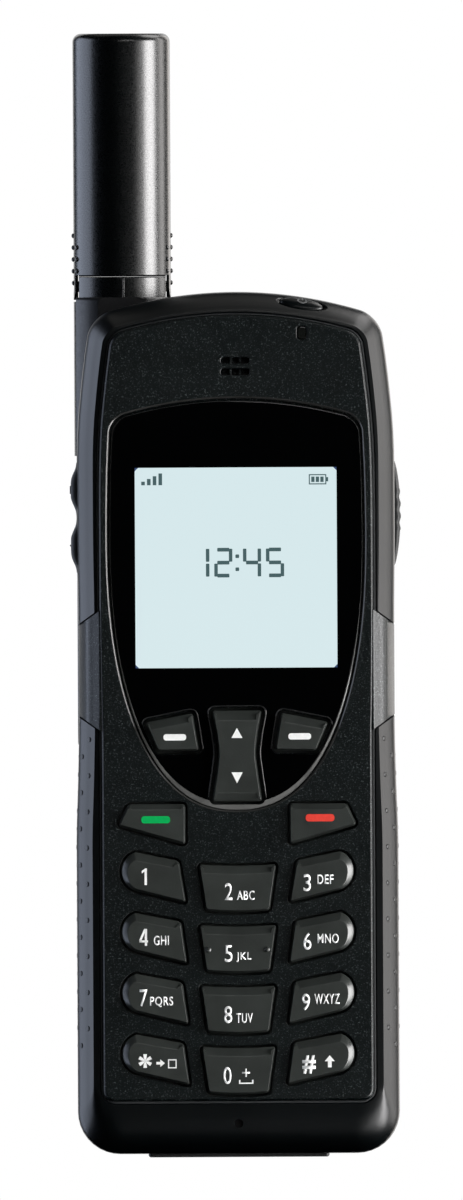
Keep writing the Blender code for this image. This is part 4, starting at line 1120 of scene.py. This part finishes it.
star = []
for k in range(3):
    a = math.radians(90 + 60 * k)
    d, n = Vector((math.cos(a), math.sin(a))), Vector((-math.sin(a), math.cos(a)))
    c = Vector((-15.45, 15.94))
    for s in (1, -1):
        star.append([tuple(c + n * 0.07 * s * 0), tuple(c + d * s * 0.5 + n * 0.23),
                     tuple(c + d * s * 1.13 + n * 0.3), tuple(c + d * s * 1.13 - n * 0.3),
                     tuple(c + d * s * 0.5 - n * 0.23)])
star.append([(-13.6, 15.35), (-12.95, 15.35), (-12.95, 14.94), (-12.18, 15.57),
             (-12.95, 16.2), (-12.95, 15.79), (-13.6, 15.79)])
for points in (rect(-11.67, 14.71, -10.25, 14.89), rect(-11.67, 16.02, -10.25, 16.2),
               rect(-11.67, 14.89, -11.49, 16.02), rect(-10.43, 14.89, -10.25, 16.02)):
    star.append(points)
piece(flat_shape("key_star_legend", star, TOP, 0.05, WHITE), "key_star_cap", "card")
piece(flat_shape("softkey_left_bar", [bar(-12.15, 68.89, -8.4, 69.95, 0.45)], TOP, 0.06, WHITE),
      "softkey_left_cap", "card")
piece(flat_shape("softkey_right_bar", [bar(8.5, 68.95, 12.25, 70.0, 0.45)], TOP, 0.06, WHITE),
      "softkey_right_cap", "card")
piece(flat_shape("key_call_bar", [bar(-15.88, 55.21, -11.11, 56.4, 0.5)], TOP, 0.06, GREEN),
      "key_call_cap", "card")
piece(flat_shape("key_end_bar", [bar(11.29, 55.4, 16.05, 56.6, 0.5)], TOP, 0.06, RED),
      "key_end_cap", "card")
piece(flat_shape("nav_arrows", [[(-0.92, 69.26), (0.92, 69.26), (0.0, 70.91)],
                                [(-0.92, 63.59), (0.92, 63.59), (-0.02, 61.77)]],
                 TOP - 0.05, 0.05, WHITE), "nav", "card")


def dome(at, normal, radii, mat=None, sides=16):
    """A low rounded bump standing on a surface."""
    bm = bmesh.new()
    bmesh.ops.create_uvsphere(bm, u_segments=sides, v_segments=max(6, sides // 2), radius=1.0)
    turn = Vector((0, 0, 1)).rotation_difference(Vector(normal).normalized()).to_matrix()
    bm.transform(Matrix.Translation(Vector(at) * MM) @ turn.to_4x4()
                 @ Matrix.Diagonal((*(Vector(radii) * MM), 1.0)))
    obj = new_object("dome", bm, mat or HOLE)
    return obj


nubs = joined("key_5_nubs", [dome((x, TOP, 34.29), (0, -1, 0), (0.5, 0.5, 0.36))
                             for x in (-4.9, 4.82)])
nubs.data.materials[0] = KEYCAP
shaded(nubs, 60)
piece(nubs, "key_5_cap", "keycap")

# the power glyph
glyph = []
arc = [(0.5 * math.cos(math.radians(a)), 0.5 * math.sin(math.radians(a)))
       for a in range(125, 416, 12)]
inner = [(0.34 * math.cos(math.radians(a)), 0.34 * math.sin(math.radians(a)))
         for a in range(125, 416, 12)]
glyph_parts = [tube("glyph", [flat(arc + inner[::-1], 0.12), flat(arc + inner[::-1], 0.34)]),
               tube("glyph", [flat(rect(-0.08, 0.1, 0.08, 0.62), 0.12),
                              flat(rect(-0.08, 0.1, 0.08, 0.62), 0.34)])]
glyph = joined("power_glyph", glyph_parts)
in_frame(glyph, POWER_FRAME @ Matrix.Diagonal((1.7, 1.3, 1.0, 1.0)))
glyph.data.materials[0] = GREY_INK
piece(glyph, "power", "card")

# ------------------------------------------------------ idle screen content
shapes = []
for k in range(4):
    shapes.append(rect(-15.6 + 0.95 * k, 111.1, -15.0 + 0.95 * k, 111.7 + 0.45 * k))
shapes += [rect(12.1, 111.1, 15.0, 111.28), rect(12.1, 112.62, 15.0, 112.8),
           rect(12.1, 111.28, 12.28, 112.62), rect(14.82, 111.28, 15.0, 112.62),
           rect(15.0, 111.6, 15.3, 112.3)]
for k in range(3):
    shapes.append(rect(12.5 + 0.75 * k, 111.5, 13.05 + 0.75 * k, 112.4))
icons = flat_shape("screen_icons", shapes, -13.775, 0.05, INK)
BARS = {"a": (0.5, 4.28, 2.5, 4.9), "b": (2.42, 2.6, 3.0, 4.75), "c": (2.42, 0.15, 3.0, 2.3),
        "d": (0.5, 0.0, 2.5, 0.62), "e": (0.0, 0.15, 0.58, 2.3), "f": (0.0, 2.6, 0.58, 4.75),
        "g": (0.5, 2.14, 2.5, 2.76)}
digits = []
for left, lit in ((-7.4, "bc"), (-3.6, "abged"), (1.15, "fgbc"), (4.95, "afgcd")):
    digits += [rect(left + BARS[k][0], 95.8 + BARS[k][1], left + BARS[k][2],
                    95.8 + BARS[k][3], 0.12, 3) for k in lit]
digits += [rect(0.0 - 0.1, 95.8 + z, 0.52, 96.4 + z, 0.12, 3) for z in (1.05, 3.2)]
clock = flat_shape("screen_clock", digits, -13.775, 0.05, INK)
marks = joined("screen_marks", [icons, clock])
marks.data.materials[0] = INK
piece(marks, "housing", "screen")

# ------------------------------------------------------------ grip dots
def side_point(z, y, levels=FRONT_LEVELS):
    """A point on the side of the casing and the way that it faces."""
    rows = between(levels, 6)
    for (ya, sa, *_), (yb, sb, *_) in zip(rows, rows[1:]):
        if yb <= y <= ya:
            t = (ya - y) / max(ya - yb, 1e-9)
            s = sa + (sb - sa) * t
            slope = (sb - sa) / (ya - yb)
            n = Vector((1.0, -slope, 0.0)).normalized()
            return table(BODY_SIDE, z) - s, n
    return table(BODY_SIDE, z), Vector((1, 0, 0))


dots = []
for y, first in ((-12.15, 69.1), (-10.35, 66.3), (-8.1, 63.3), (-5.6, 66.3)):
    for k in range(9):
        z = first - 5.97 * k
        if z < 16.0:
            continue
        x, n = side_point(z, y)
        for side in (1, -1):
            dots.append(dome((side * x, y, z), (side * n.x, n.y, 0),
                             (0.45, 0.45, 0.14 if y < -9 else 0.06)))
dots = joined("grip_dots", dots)
dots.data.materials[0] = GRIP
shaded(dots, 60)
piece(dots, "housing", "grip")


# ------------------------------------------------- volume rocker and ports
def side_bar(name, edge, inner_x, y0, y1, mat, ease=0.45, shrink=0.4):
    """A bar that stands out of a side; its outer edge is rounded front and back."""
    rings = []
    for y, e in ((y0, 1.0), (y0 + 0.12, 0.5), (y0 + ease, 0.12), (y0 + 2 * ease, 0.0),
                 (y1 - 2 * ease, 0.0), (y1 - ease, 0.12), (y1 - 0.12, 0.5), (y1, 1.0)):
        ring = [(inner_x, y, edge[0][1])]
        for x, z in edge:
            out = abs(x) - abs(inner_x)
            ring.append((math.copysign(abs(inner_x) + out * (1 - shrink * e), x), y, z))
        ring.append((inner_x, y, edge[-1][1]))
        rings.append(ring)
    return tube(name, rings, mat)


edge = []
for i in range(97):
    z = -9.6 + 19.2 * i / 96
    hump = 0.95 * math.exp(-((abs(z) - 4.6) / 3.1) ** 4) * (0.45 + 0.55 * min(1.0, abs(z) / 3.2))
    fade = min(1.0, (9.6 - abs(z)) / 0.5) ** 0.5
    edge.append((-25.5 - (0.82 + max(hump, 0.0)) * fade, ROCKER_Z + z))
rocker = side_bar("volume_rocker_bar", edge, -24.0, -8.2, -4.2, RUBBER)
marks = []
for z, up in ((4.6, True), (-4.6, False)):
    marks.append(block("mark", (-27.42, -6.85, ROCKER_Z + z - 0.14),
                       (-27.2, -5.55, ROCKER_Z + z + 0.14)))
    if up:
        marks.append(block("mark", (-27.42, -6.34, ROCKER_Z + z - 0.65),
                           (-27.2, -6.06, ROCKER_Z + z + 0.65)))
shaded(rocker, 40)
piece(rocker, "volume", "rubber", "volume_rocker")
marks = joined("volume_marks", marks)
marks.data.materials[0] = GREY_INK
piece(marks, "volume", "card")

COVER_LOW, COVER_HIGH = 97.6, 115.1
edge = []
for i in range(141):
    t = i / 140
    z = COVER_LOW + (COVER_HIGH - COVER_LOW) * t
    swell = 1.12 * math.sin(math.pi * t) ** 0.6 if 0 < t < 1 else 0.0
    if 0.34 < t < 0.74:
        swell += 0.11 * math.cos((t - 0.36) / 0.12 * 2 * math.pi + math.pi * 0.2) - 0.03
    edge.append((26.12 + max(0.0, min(swell, 1.2)), z))
cover = side_bar("side_port_flap", edge, 25.3, -1.6, 6.3, RUBBER, 0.5, 0.35)
shaded(cover, 40)
piece(cover, "port_door", "rubber", "side_port_cover")

# ------------------------------------------------------------ rear casing
rear = tube("rear_shell", casing(REAR_LEVELS, 4), CASE)
sleeve = turned("sleeve", [(0.0, 66.0), (6.6, 66.0)]
                + [(9.4 - 2.8 * (1 - i / 10) ** 1.6, 66.0 + 9.2 * i / 10) for i in range(1, 11)]
                + [(9.4, 141.4), (9.25, 141.9), (8.9, 142.2), (0.0, 142.2)], (ANT_X, ANT_Y))
carve(rear, sleeve, operation="UNION")
carve(rear, block("side_keep", (-26.25, -2.88, -10), (40, 30, 200)), operation="INTERSECT")
tip = Matrix.Rotation(math.radians(-45), 3, "X")
reach = Vector((0, math.sin(math.radians(45)), math.cos(math.radians(45))))


def tilt_room(name, clearance, x0, x1):
    centre = Vector((0, ANT_Y, HINGE_Z)) + reach * (clearance + 20.0)
    return block(name, (x0, centre.y - 60, centre.z - 20), (x1, centre.y + 60, centre.z + 20),
                 turn=tip)


hollow = tube("deep_hollow", [at_y([(-8.4, 60.0), (24.3, 60.0), (24.3, 116.0), (23.2, 130.0),
                                    (22.0, 137.2), (10.0, 140.2), (0.0, 141.0),
                                    (-8.4, 140.5)], y) for y in (-10.0, 1.51)])
deeper = tube("deeper_hollow", [at_y([(-8.4, 78.0), (22.4, 78.0), (22.4, 116.0), (21.4, 130.0),
                                      (20.0, 135.6), (10.0, 138.0), (-8.4, 138.0)], y)
                                for y in (1.0, 10.6)])
carve(rear, block("shallow", (-24.3, -10.0, 4.2), (24.3, 1.5, 66.5)), hollow, deeper)
carve(rear, keep_slab("bay", rect(-19.5, 8.0, 19.5, 63.0, 1.0), 2.7, 40.0))
carve(rear, block("cover_room", (-60, BACK_Y - 2.0, 6.7), (60, 40, 64.6)),
      keep_slab("latch_room", rect(-6.3, 64.0, 6.3, 76.5, 0.4), 11.2, 40.0))
carve(rear, rod("channel", (ANT_X, ANT_Y, 72.8), (ANT_X, ANT_Y, 160.0), 8.35, 96))
carve(rear, block("slot", (-40, ANT_Y - 4.6, 72.8), (-22.0, ANT_Y + 4.6, 160.0)),
      block("grip_groove", (-16.0, ANT_Y - 4.8, 99.0), (ANT_X + 8.75, ANT_Y + 4.8, 160.0)))
carve(rear, tilt_room("tilt_case", 1.2, -40.0, ANT_X + 8.75))
carve(rear, block("side_port_room", (21.0, -1.9, 97.3), (40, 6.6, 115.4)),
      tube("dock_room", [[(x, y, z) for x, y in rect(-15.2, -7.25, 15.2, 9.3, 0.6)]
                         for z in (-5.0, 2.1)]),
      block("dock_port_room", (-9.3, -2.3, -5), (9.3, 5.0, 7.4)))
SCREWS = ((-21.9, 12.0), (21.9, 12.0), (-21.9, 59.0), (21.9, 59.0))
carve(rear, joined("screw_bores", [rod("bore", (x, -10, z), (x, 30, z), 1.2, 32)
                                   for x, z in SCREWS]))
carve(rear, joined("screw_sinks", [rod("sink", (x, 9.6, z), (x, 30, z), 2.1, 48)
                                   for x, z in SCREWS]),
      joined("ringer_slots", [keep_slab("ringer", rect(5.0, 122.0 + 2.6 * i, 15.0,
                                                       123.3 + 2.6 * i, 0.6), 9.0, 30.0)
                              for i in range(5)]))
shaded(rear, 34)
piece(rear, "housing", "case", "rear_cover")

lid = tube("battery_lid", casing(REAR_LEVELS, 4), CASE)
carve(lid, block("lid_keep", (-60, BACK_Y - 1.7, 7.0), (60, 40, 64.3)), operation="INTERSECT")
ribs = [block("rib", (-9.0, BACK_Y - 0.35, 52.0 + 1.6 * k), (9.0, 40.0, 52.8 + 1.6 * k))
        for k in range(5)]
carve(lid, block("latch_lip", (-6.6, 12.7, 62.6), (6.6, 40, 70)), joined("ribs", ribs))
shaded(lid, 34, 0.12, 2, 55)
piece(lid, "housing", "case", "battery_cover")

# a foam pad between the lid and the battery, and the gasket in the parting line, coloured
# near-black as painted shade in the seam
piece(block("lid_pad", (-18.0, BACK_Y - 1.97, 7.3), (18.0, BACK_Y - 1.73, 62.6), HOLE),
      "housing", "rubber")
rim, core = body_outline(0.9, 0.9, 1.2, 2.6, 6.2), body_outline(1.7, 1.7, 2.6, 2.2, 5.6)
piece(tube("parting_gasket", [at_y(rim, PARTING_Y + 0.03), at_y(rim, PARTING_Y + GAP - 0.03),
                              at_y(core, PARTING_Y + GAP - 0.03),
                              at_y(core, PARTING_Y + 0.03)], HOLE, closed=True),
      "housing", "rubber")

latch = block("latch_slider", (-6.0, 11.5, 65.0), (6.0, 13.4, 73.4), RUBBER)
carve(latch, block("nose", (-6.0, 13.0, 62.95), (6.0, 13.9, 65.6)),
      *[block("rib", (-4.6, 13.2, 67.0 + 2.0 * i), (4.6, 13.9, 67.8 + 2.0 * i))
        for i in range(3)], operation="UNION")
shaded(latch, 34, 0.2, 3, 50)
piece(latch, "battery_catch", "rubber", "battery_latch")

for i, (x, z) in enumerate(SCREWS):
    screw = turned("screw", [(0.0, 0.0), (0.9, 0.0), (0.9, 17.0), (1.75, 17.0), (1.75, 17.8),
                             (1.6, 18.05), (1.2, 18.2), (0.0, 18.25)], (0.0, 0.0), STEEL, 40)
    screw.name = f"case_screw_{i + 1}_turned"
    screw.data.transform(Matrix.Translation(Vector((x, -7.0, z)) * MM)
                         @ Matrix.Rotation(math.radians(-90), 4, "X"))
    carve(screw, block("drive", (x - 0.28, 10.5, z - 1.25), (x + 0.28, 12.0, z + 1.25)),
          block("drive", (x - 1.25, 10.5, z - 0.28), (x + 1.25, 12.0, z + 0.28)))
    shaded(screw, 34)
    piece(screw, "housing", "steel", f"case_screw_{i + 1}")

# ------------------------------------------------------------- base dock
bezel = tube("dock_plate", [[(x, y, z) for x, y in grown(counter_clockwise(
    rect(-14.95, -7.0, 14.95, 9.0, 0.6)), g)]
    for z, g in ((0.0, -0.35), (0.12, -0.1), (0.35, 0.0), (1.8, 0.0))], RUBBER)
carve(bezel, tube("dock_hole", [[(x, y, z) for x, y in rect(-11.5, -3.5, 11.5, 5.5, 0.4)]
                                for z in (-5.0, 5.0)]))
shaded(bezel, 34)
piece(bezel, "housing", "rubber", "dock_bezel")
flap = tube("dock_flap", [[(x, y, z) for x, y in grown(counter_clockwise(
    rect(-11.2, -3.2, 11.2, 5.2, 0.35)), g)]
    for z, g in ((0.15, -0.2), (0.22, -0.06), (0.35, 0.0), (1.5, 0.0))], RUBBER)
carve(flap, *[block("rib", (-7.0, -2.4 + 1.2 * i, -1.0), (7.0, -1.8 + 1.2 * i, 0.4))
              for i in range(3)])
shaded(flap, 34)
piece(flap, "dock_door", "rubber", "dock_cover")

# --------------------------------------------------------------- antenna
mast = turned("mast_post", [(0.0, MAST_LOW), (ANT_R, MAST_LOW), (ANT_R, SEAM_Z - 0.25),
                            (ANT_R - 0.1, SEAM_Z - 0.07), (ANT_R - 0.28, SEAM_Z),
                            (0.0, SEAM_Z)], (ANT_X, ANT_Y), RADOME, 128)
carve(mast, block("side_l", (ANT_X - 12.0, ANT_Y - 12, MAST_SHOULDER),
                  (ANT_X - TONGUE_HALF - 0.2, ANT_Y + 12, 160)),
      block("side_r", (ANT_X + TONGUE_HALF + 0.2, ANT_Y - 12, MAST_SHOULDER),
            (ANT_X + 12.0, ANT_Y + 12, 160)))
carve(mast, tilt_room("tilt_mast", 1.6, -40.0, 10.0))
carve(mast, rod("pin_bore", (ANT_X - 20, ANT_Y, HINGE_Z), (ANT_X + 20, ANT_Y, HINGE_Z), 1.0, 40),
      rod("cable_bore", (ANT_X, ANT_Y - 4.6, 100), (ANT_X, ANT_Y - 4.6, 160), 1.1, 32))
shaded(mast, 34)
piece(mast, "mast", "case", "antenna_mast")
# the moulding seam that runs down the front of the mast
seam = lip("mast_seam", counter_clockwise([(ANT_X + 0.18 + 0.1 * math.cos(a), z)
                                           for a, z in ((0, 117.0), (0, 145.2),
                                                        (math.pi, 145.2), (math.pi, 117.0))]),
           ANT_Y - ANT_R + 0.0, 0.11, RADOME, 8)
shaded(seam, 60)
piece(seam, "mast", "case")

profile = [(0.0, ANT_TOP), (ANT_R - 1.5, ANT_TOP)]
profile += conic((ANT_R - 1.4, ANT_TOP), (ANT_R, ANT_TOP), (ANT_R, ANT_TOP - 1.4), 9)
profile += [(ANT_R, 170.0), (ANT_R, 155.0), (ANT_R, HINGE_Z - 2.35), (ANT_R - 0.25, HINGE_Z - 2.6),
            (6.2, HINGE_Z - 2.6), (6.2, ANT_TOP - 2.2), (0.0, ANT_TOP - 2.2)]
radome = turned("radome_shell", profile, (ANT_X, ANT_Y), RADOME, 128)
carve(radome, rod("foot", (ANT_X, ANT_Y, HINGE_Z - 2.6), (ANT_X, ANT_Y, 148.6), 7.6, 96),
      operation="UNION")
around = [(ANT_Y - 12, HINGE_Z + 1.9), (ANT_Y - 2.2, HINGE_Z + 1.9)]
around += [(ANT_Y + 2.2 * math.cos(math.radians(a)), HINGE_Z + 2.2 * math.sin(math.radians(a)))
           for a in range(180, 361, 10)]
around += [(ANT_Y + 2.2, HINGE_Z + 1.9), (ANT_Y + 12, HINGE_Z + 1.9),
           (ANT_Y + 12, HINGE_Z - 6), (ANT_Y - 12, HINGE_Z - 6)]
carve(radome, block("tongue_room", (ANT_X - 7.28, ANT_Y - 12, 130),
                    (ANT_X + 7.28, ANT_Y + 12, SEAM_Z + GAP)),
      tube("around_tabs", [[(x, y, z) for y, z in around] for x in (ANT_X - 20, ANT_X + 20)]))
carve(radome, rod("pin_bore", (ANT_X - 20, ANT_Y, HINGE_Z), (ANT_X + 20, ANT_Y, HINGE_Z), 1.0, 40),
      rod("cable_bore", (ANT_X, ANT_Y - 4.6, 140), (ANT_X, ANT_Y - 4.6, 150), 1.1, 32))
shaded(radome, 34)
piece(radome, "antenna", "case", "antenna_radome")

# a near-black ring fills the seam under the radome: painted shade in the seam gap
gasket = rod("seam_gasket", (ANT_X, ANT_Y, SEAM_Z + 0.03), (ANT_X, ANT_Y, SEAM_Z + GAP + 0.02),
             7.75, 96, HOLE)
carve(gasket, block("gasket_l", (ANT_X - 12, ANT_Y - 12, 140), (ANT_X - 7.2, ANT_Y + 12, 150)),
      block("gasket_r", (ANT_X + 7.2, ANT_Y - 12, 140), (ANT_X + 12, ANT_Y + 12, 150)))
shaded(gasket, 34)
piece(gasket, "antenna", "rubber")
bumps = []
for i, z in enumerate((152.4, 150.45, 148.5, 146.55, 144.6)):
    ways = (0.0, 180.0) if i in (0, 4) else (0.0, 180.0, -22.5, 202.5, 22.5, 157.5)
    if z < SEAM_Z + 0.6 and i == 4:
        ways = (0.0, 180.0)
    for a in ways:
        n = Vector((math.cos(math.radians(a)), math.sin(math.radians(a)), 0))
        p = Vector((ANT_X, ANT_Y, z)) + n * (ANT_R - 0.02)
        if i == 4:
            p = Vector((ANT_X, ANT_Y, z)) + n * (ANT_R - 0.05)
        bumps.append(dome(p, n, (0.42, 0.42, 0.36), RADOME))
bumps = joined("radome_grip_dots", bumps)
bumps.data.materials[0] = RADOME
shaded(bumps, 60)
piece(bumps, "antenna", "case")

# ---------------------------------------------- finish of the kept CAD nodes
slots = {m["slot"]: m for m in frame["record"].get("materials", []) if "slot" in m}
KEPT = {
    "display_module": HOLE, "keypad_mat": RUBBER, "main_board": BOARD, "rf_shield": TIN,
    "baseband_shield": TIN, "earpiece": HOLE, "microphone": STEEL, "battery": CELL,
    "battery_contacts": BRASS, "sim_holder": TIN, "sim_card": CARD, "ringer_speaker": RUBBER,
    "vibration_motor": STEEL, "dock_connector": STEEL, "headset_jack": BRASS,
    "data_port": TIN, "hinge_pin": PIN, "element_former": FORMER, "antenna_helix": BRASS}
for name, obj in NODES.items():
    if obj.hide_render:
        continue
    mat = KEPT.get(name, CASE)
    if len(obj.material_slots) == 0:
        obj.data.materials.append(mat)
    for slot_ in obj.material_slots:
        slot_.material = mat


# ------------------------------------------------------------------ stage
def stage_material(name, colour, glow, rough=0.9):
    mat, tree, bsdf = graph(name)
    bsdf.inputs["Base Color"].default_value = (*colour, 1.0)
    bsdf.inputs["Roughness"].default_value = rough
    bsdf.inputs["Specular IOR Level"].default_value = 0.0
    bsdf.inputs["Emission Color"].default_value = (1.0, 1.0, 1.0, 1.0)
    bsdf.inputs["Emission Strength"].default_value = glow
    return mat


bm = bmesh.new()
bmesh.ops.create_circle(bm, cap_ends=True, segments=96, radius=3.9)
floor = new_object("floor", bm, stage_material("floor_pale", (0.0, 0.0, 0.0), 1.0))
floor.visible_glossy = False
floor.visible_diffuse = False

bm = bmesh.new()
bmesh.ops.create_uvsphere(bm, u_segments=64, v_segments=32, radius=4.0)
bmesh.ops.reverse_faces(bm, faces=bm.faces)
dome_obj = new_object("backdrop", bm, stage_material("backdrop_pale", (0.0, 0.0, 0.0), 1.0))
dome_obj.visible_glossy = False
dome_obj.visible_diffuse = False
dome_obj.visible_shadow = False
dome_obj.visible_transmission = True

world = bpy.data.worlds.new("studio")
bpy.context.scene.world = world
world.use_nodes = True
world.node_tree.nodes["Background"].inputs["Color"].default_value = (1.0, 1.0, 1.0, 1.0)
world.node_tree.nodes["Background"].inputs["Strength"].default_value = 0.10
world.cycles_visibility.glossy = False
world.cycles_visibility.camera = False


def softbox(name, azimuth, elevation, distance, width, height, radiance, colour=(1, 1, 1),
            aim=(0.0, 0.0, 0.09)):
    """A rectangular soft light; azimuth 0 is in front (-Y), positive towards +X."""
    a, e = math.radians(azimuth), math.radians(elevation)
    way = Vector((math.sin(a) * math.cos(e), -math.cos(a) * math.cos(e), math.sin(e)))
    data = bpy.data.lights.new(name, "AREA")
    data.shape = "RECTANGLE"
    data.size, data.size_y = width, height
    data.energy = radiance * math.pi * width * height
    data.color = colour
    lamp = bpy.data.objects.new(name, data)
    lamp.location = Vector(aim) + way * distance
    lamp.rotation_euler = (-way).to_track_quat("-Z", "Y").to_euler()
    lamp.visible_camera = False
    bpy.context.scene.collection.objects.link(lamp)
    return lamp


softbox("key_core", 71, -11, 1.3, 0.68, 1.5, 18.5, (1.0, 0.985, 0.985))
softbox("key_wide", 62, -11, 1.5, 1.4, 1.7, 2.0, (1.0, 0.985, 0.975))
softbox("side_right", 110, 3, 1.4, 0.5, 1.6, 4.8, (1.0, 0.97, 0.95))
softbox("rim_right", 150, 4, 1.4, 0.36, 1.6, 2.7, (1.0, 0.95, 0.91))
softbox("high_right", 122, 52, 1.3, 0.8, 0.6, 4.5, (1.0, 0.98, 0.97))
softbox("front_high", 14, 23, 1.5, 0.7, 0.14, 6.5, (1.0, 0.99, 0.98))
softbox("side_left", -105, 0, 1.4, 1.5, 1.7, 2.7, (0.77, 0.86, 1.06))
softbox("back_panel", 180, 5, 1.5, 1.3, 1.4, 1.3)
softbox("overhead", 180, 70, 1.4, 1.3, 0.7, 0.4, (1.0, 0.97, 0.92))
softbox("edge_low", 42, -38, 1.0, 0.5, 0.35, 4.5)
softbox("low_fill", 34, -4, 0.42, 0.22, 0.12, 2.0, (1.0, 0.99, 0.98), (0.0, 0.0, 0.03))
soft = softbox("front_fill", 16, -38, 1.2, 0.5, 0.5, 32.0)
soft.visible_glossy = False

# ----------------------------------------------------------------- camera
camera_data = bpy.data.cameras.new("camera")
camera = bpy.data.objects.new("camera", camera_data)
bpy.context.scene.collection.objects.link(camera)
DISTANCE = 2.0
camera_data.type = "ORTHO"
camera_data.ortho_scale = 1200 / 6.05 * MM
camera_data.clip_start = 0.05
camera_data.clip_end = 20.0
target = Vector((-0.78 * MM, 0.0, 92.07 * MM))
camera.location = target + Vector((0.0, -DISTANCE, 0.0))
roll = Matrix.Rotation(math.radians(-0.30), 4, "Z")
camera.matrix_world = (Matrix.Translation(camera.location)
                       @ Matrix.Rotation(math.radians(90), 4, "X") @ roll)
bpy.context.scene.camera = camera
bpy.context.scene.view_settings.view_transform = "Standard"
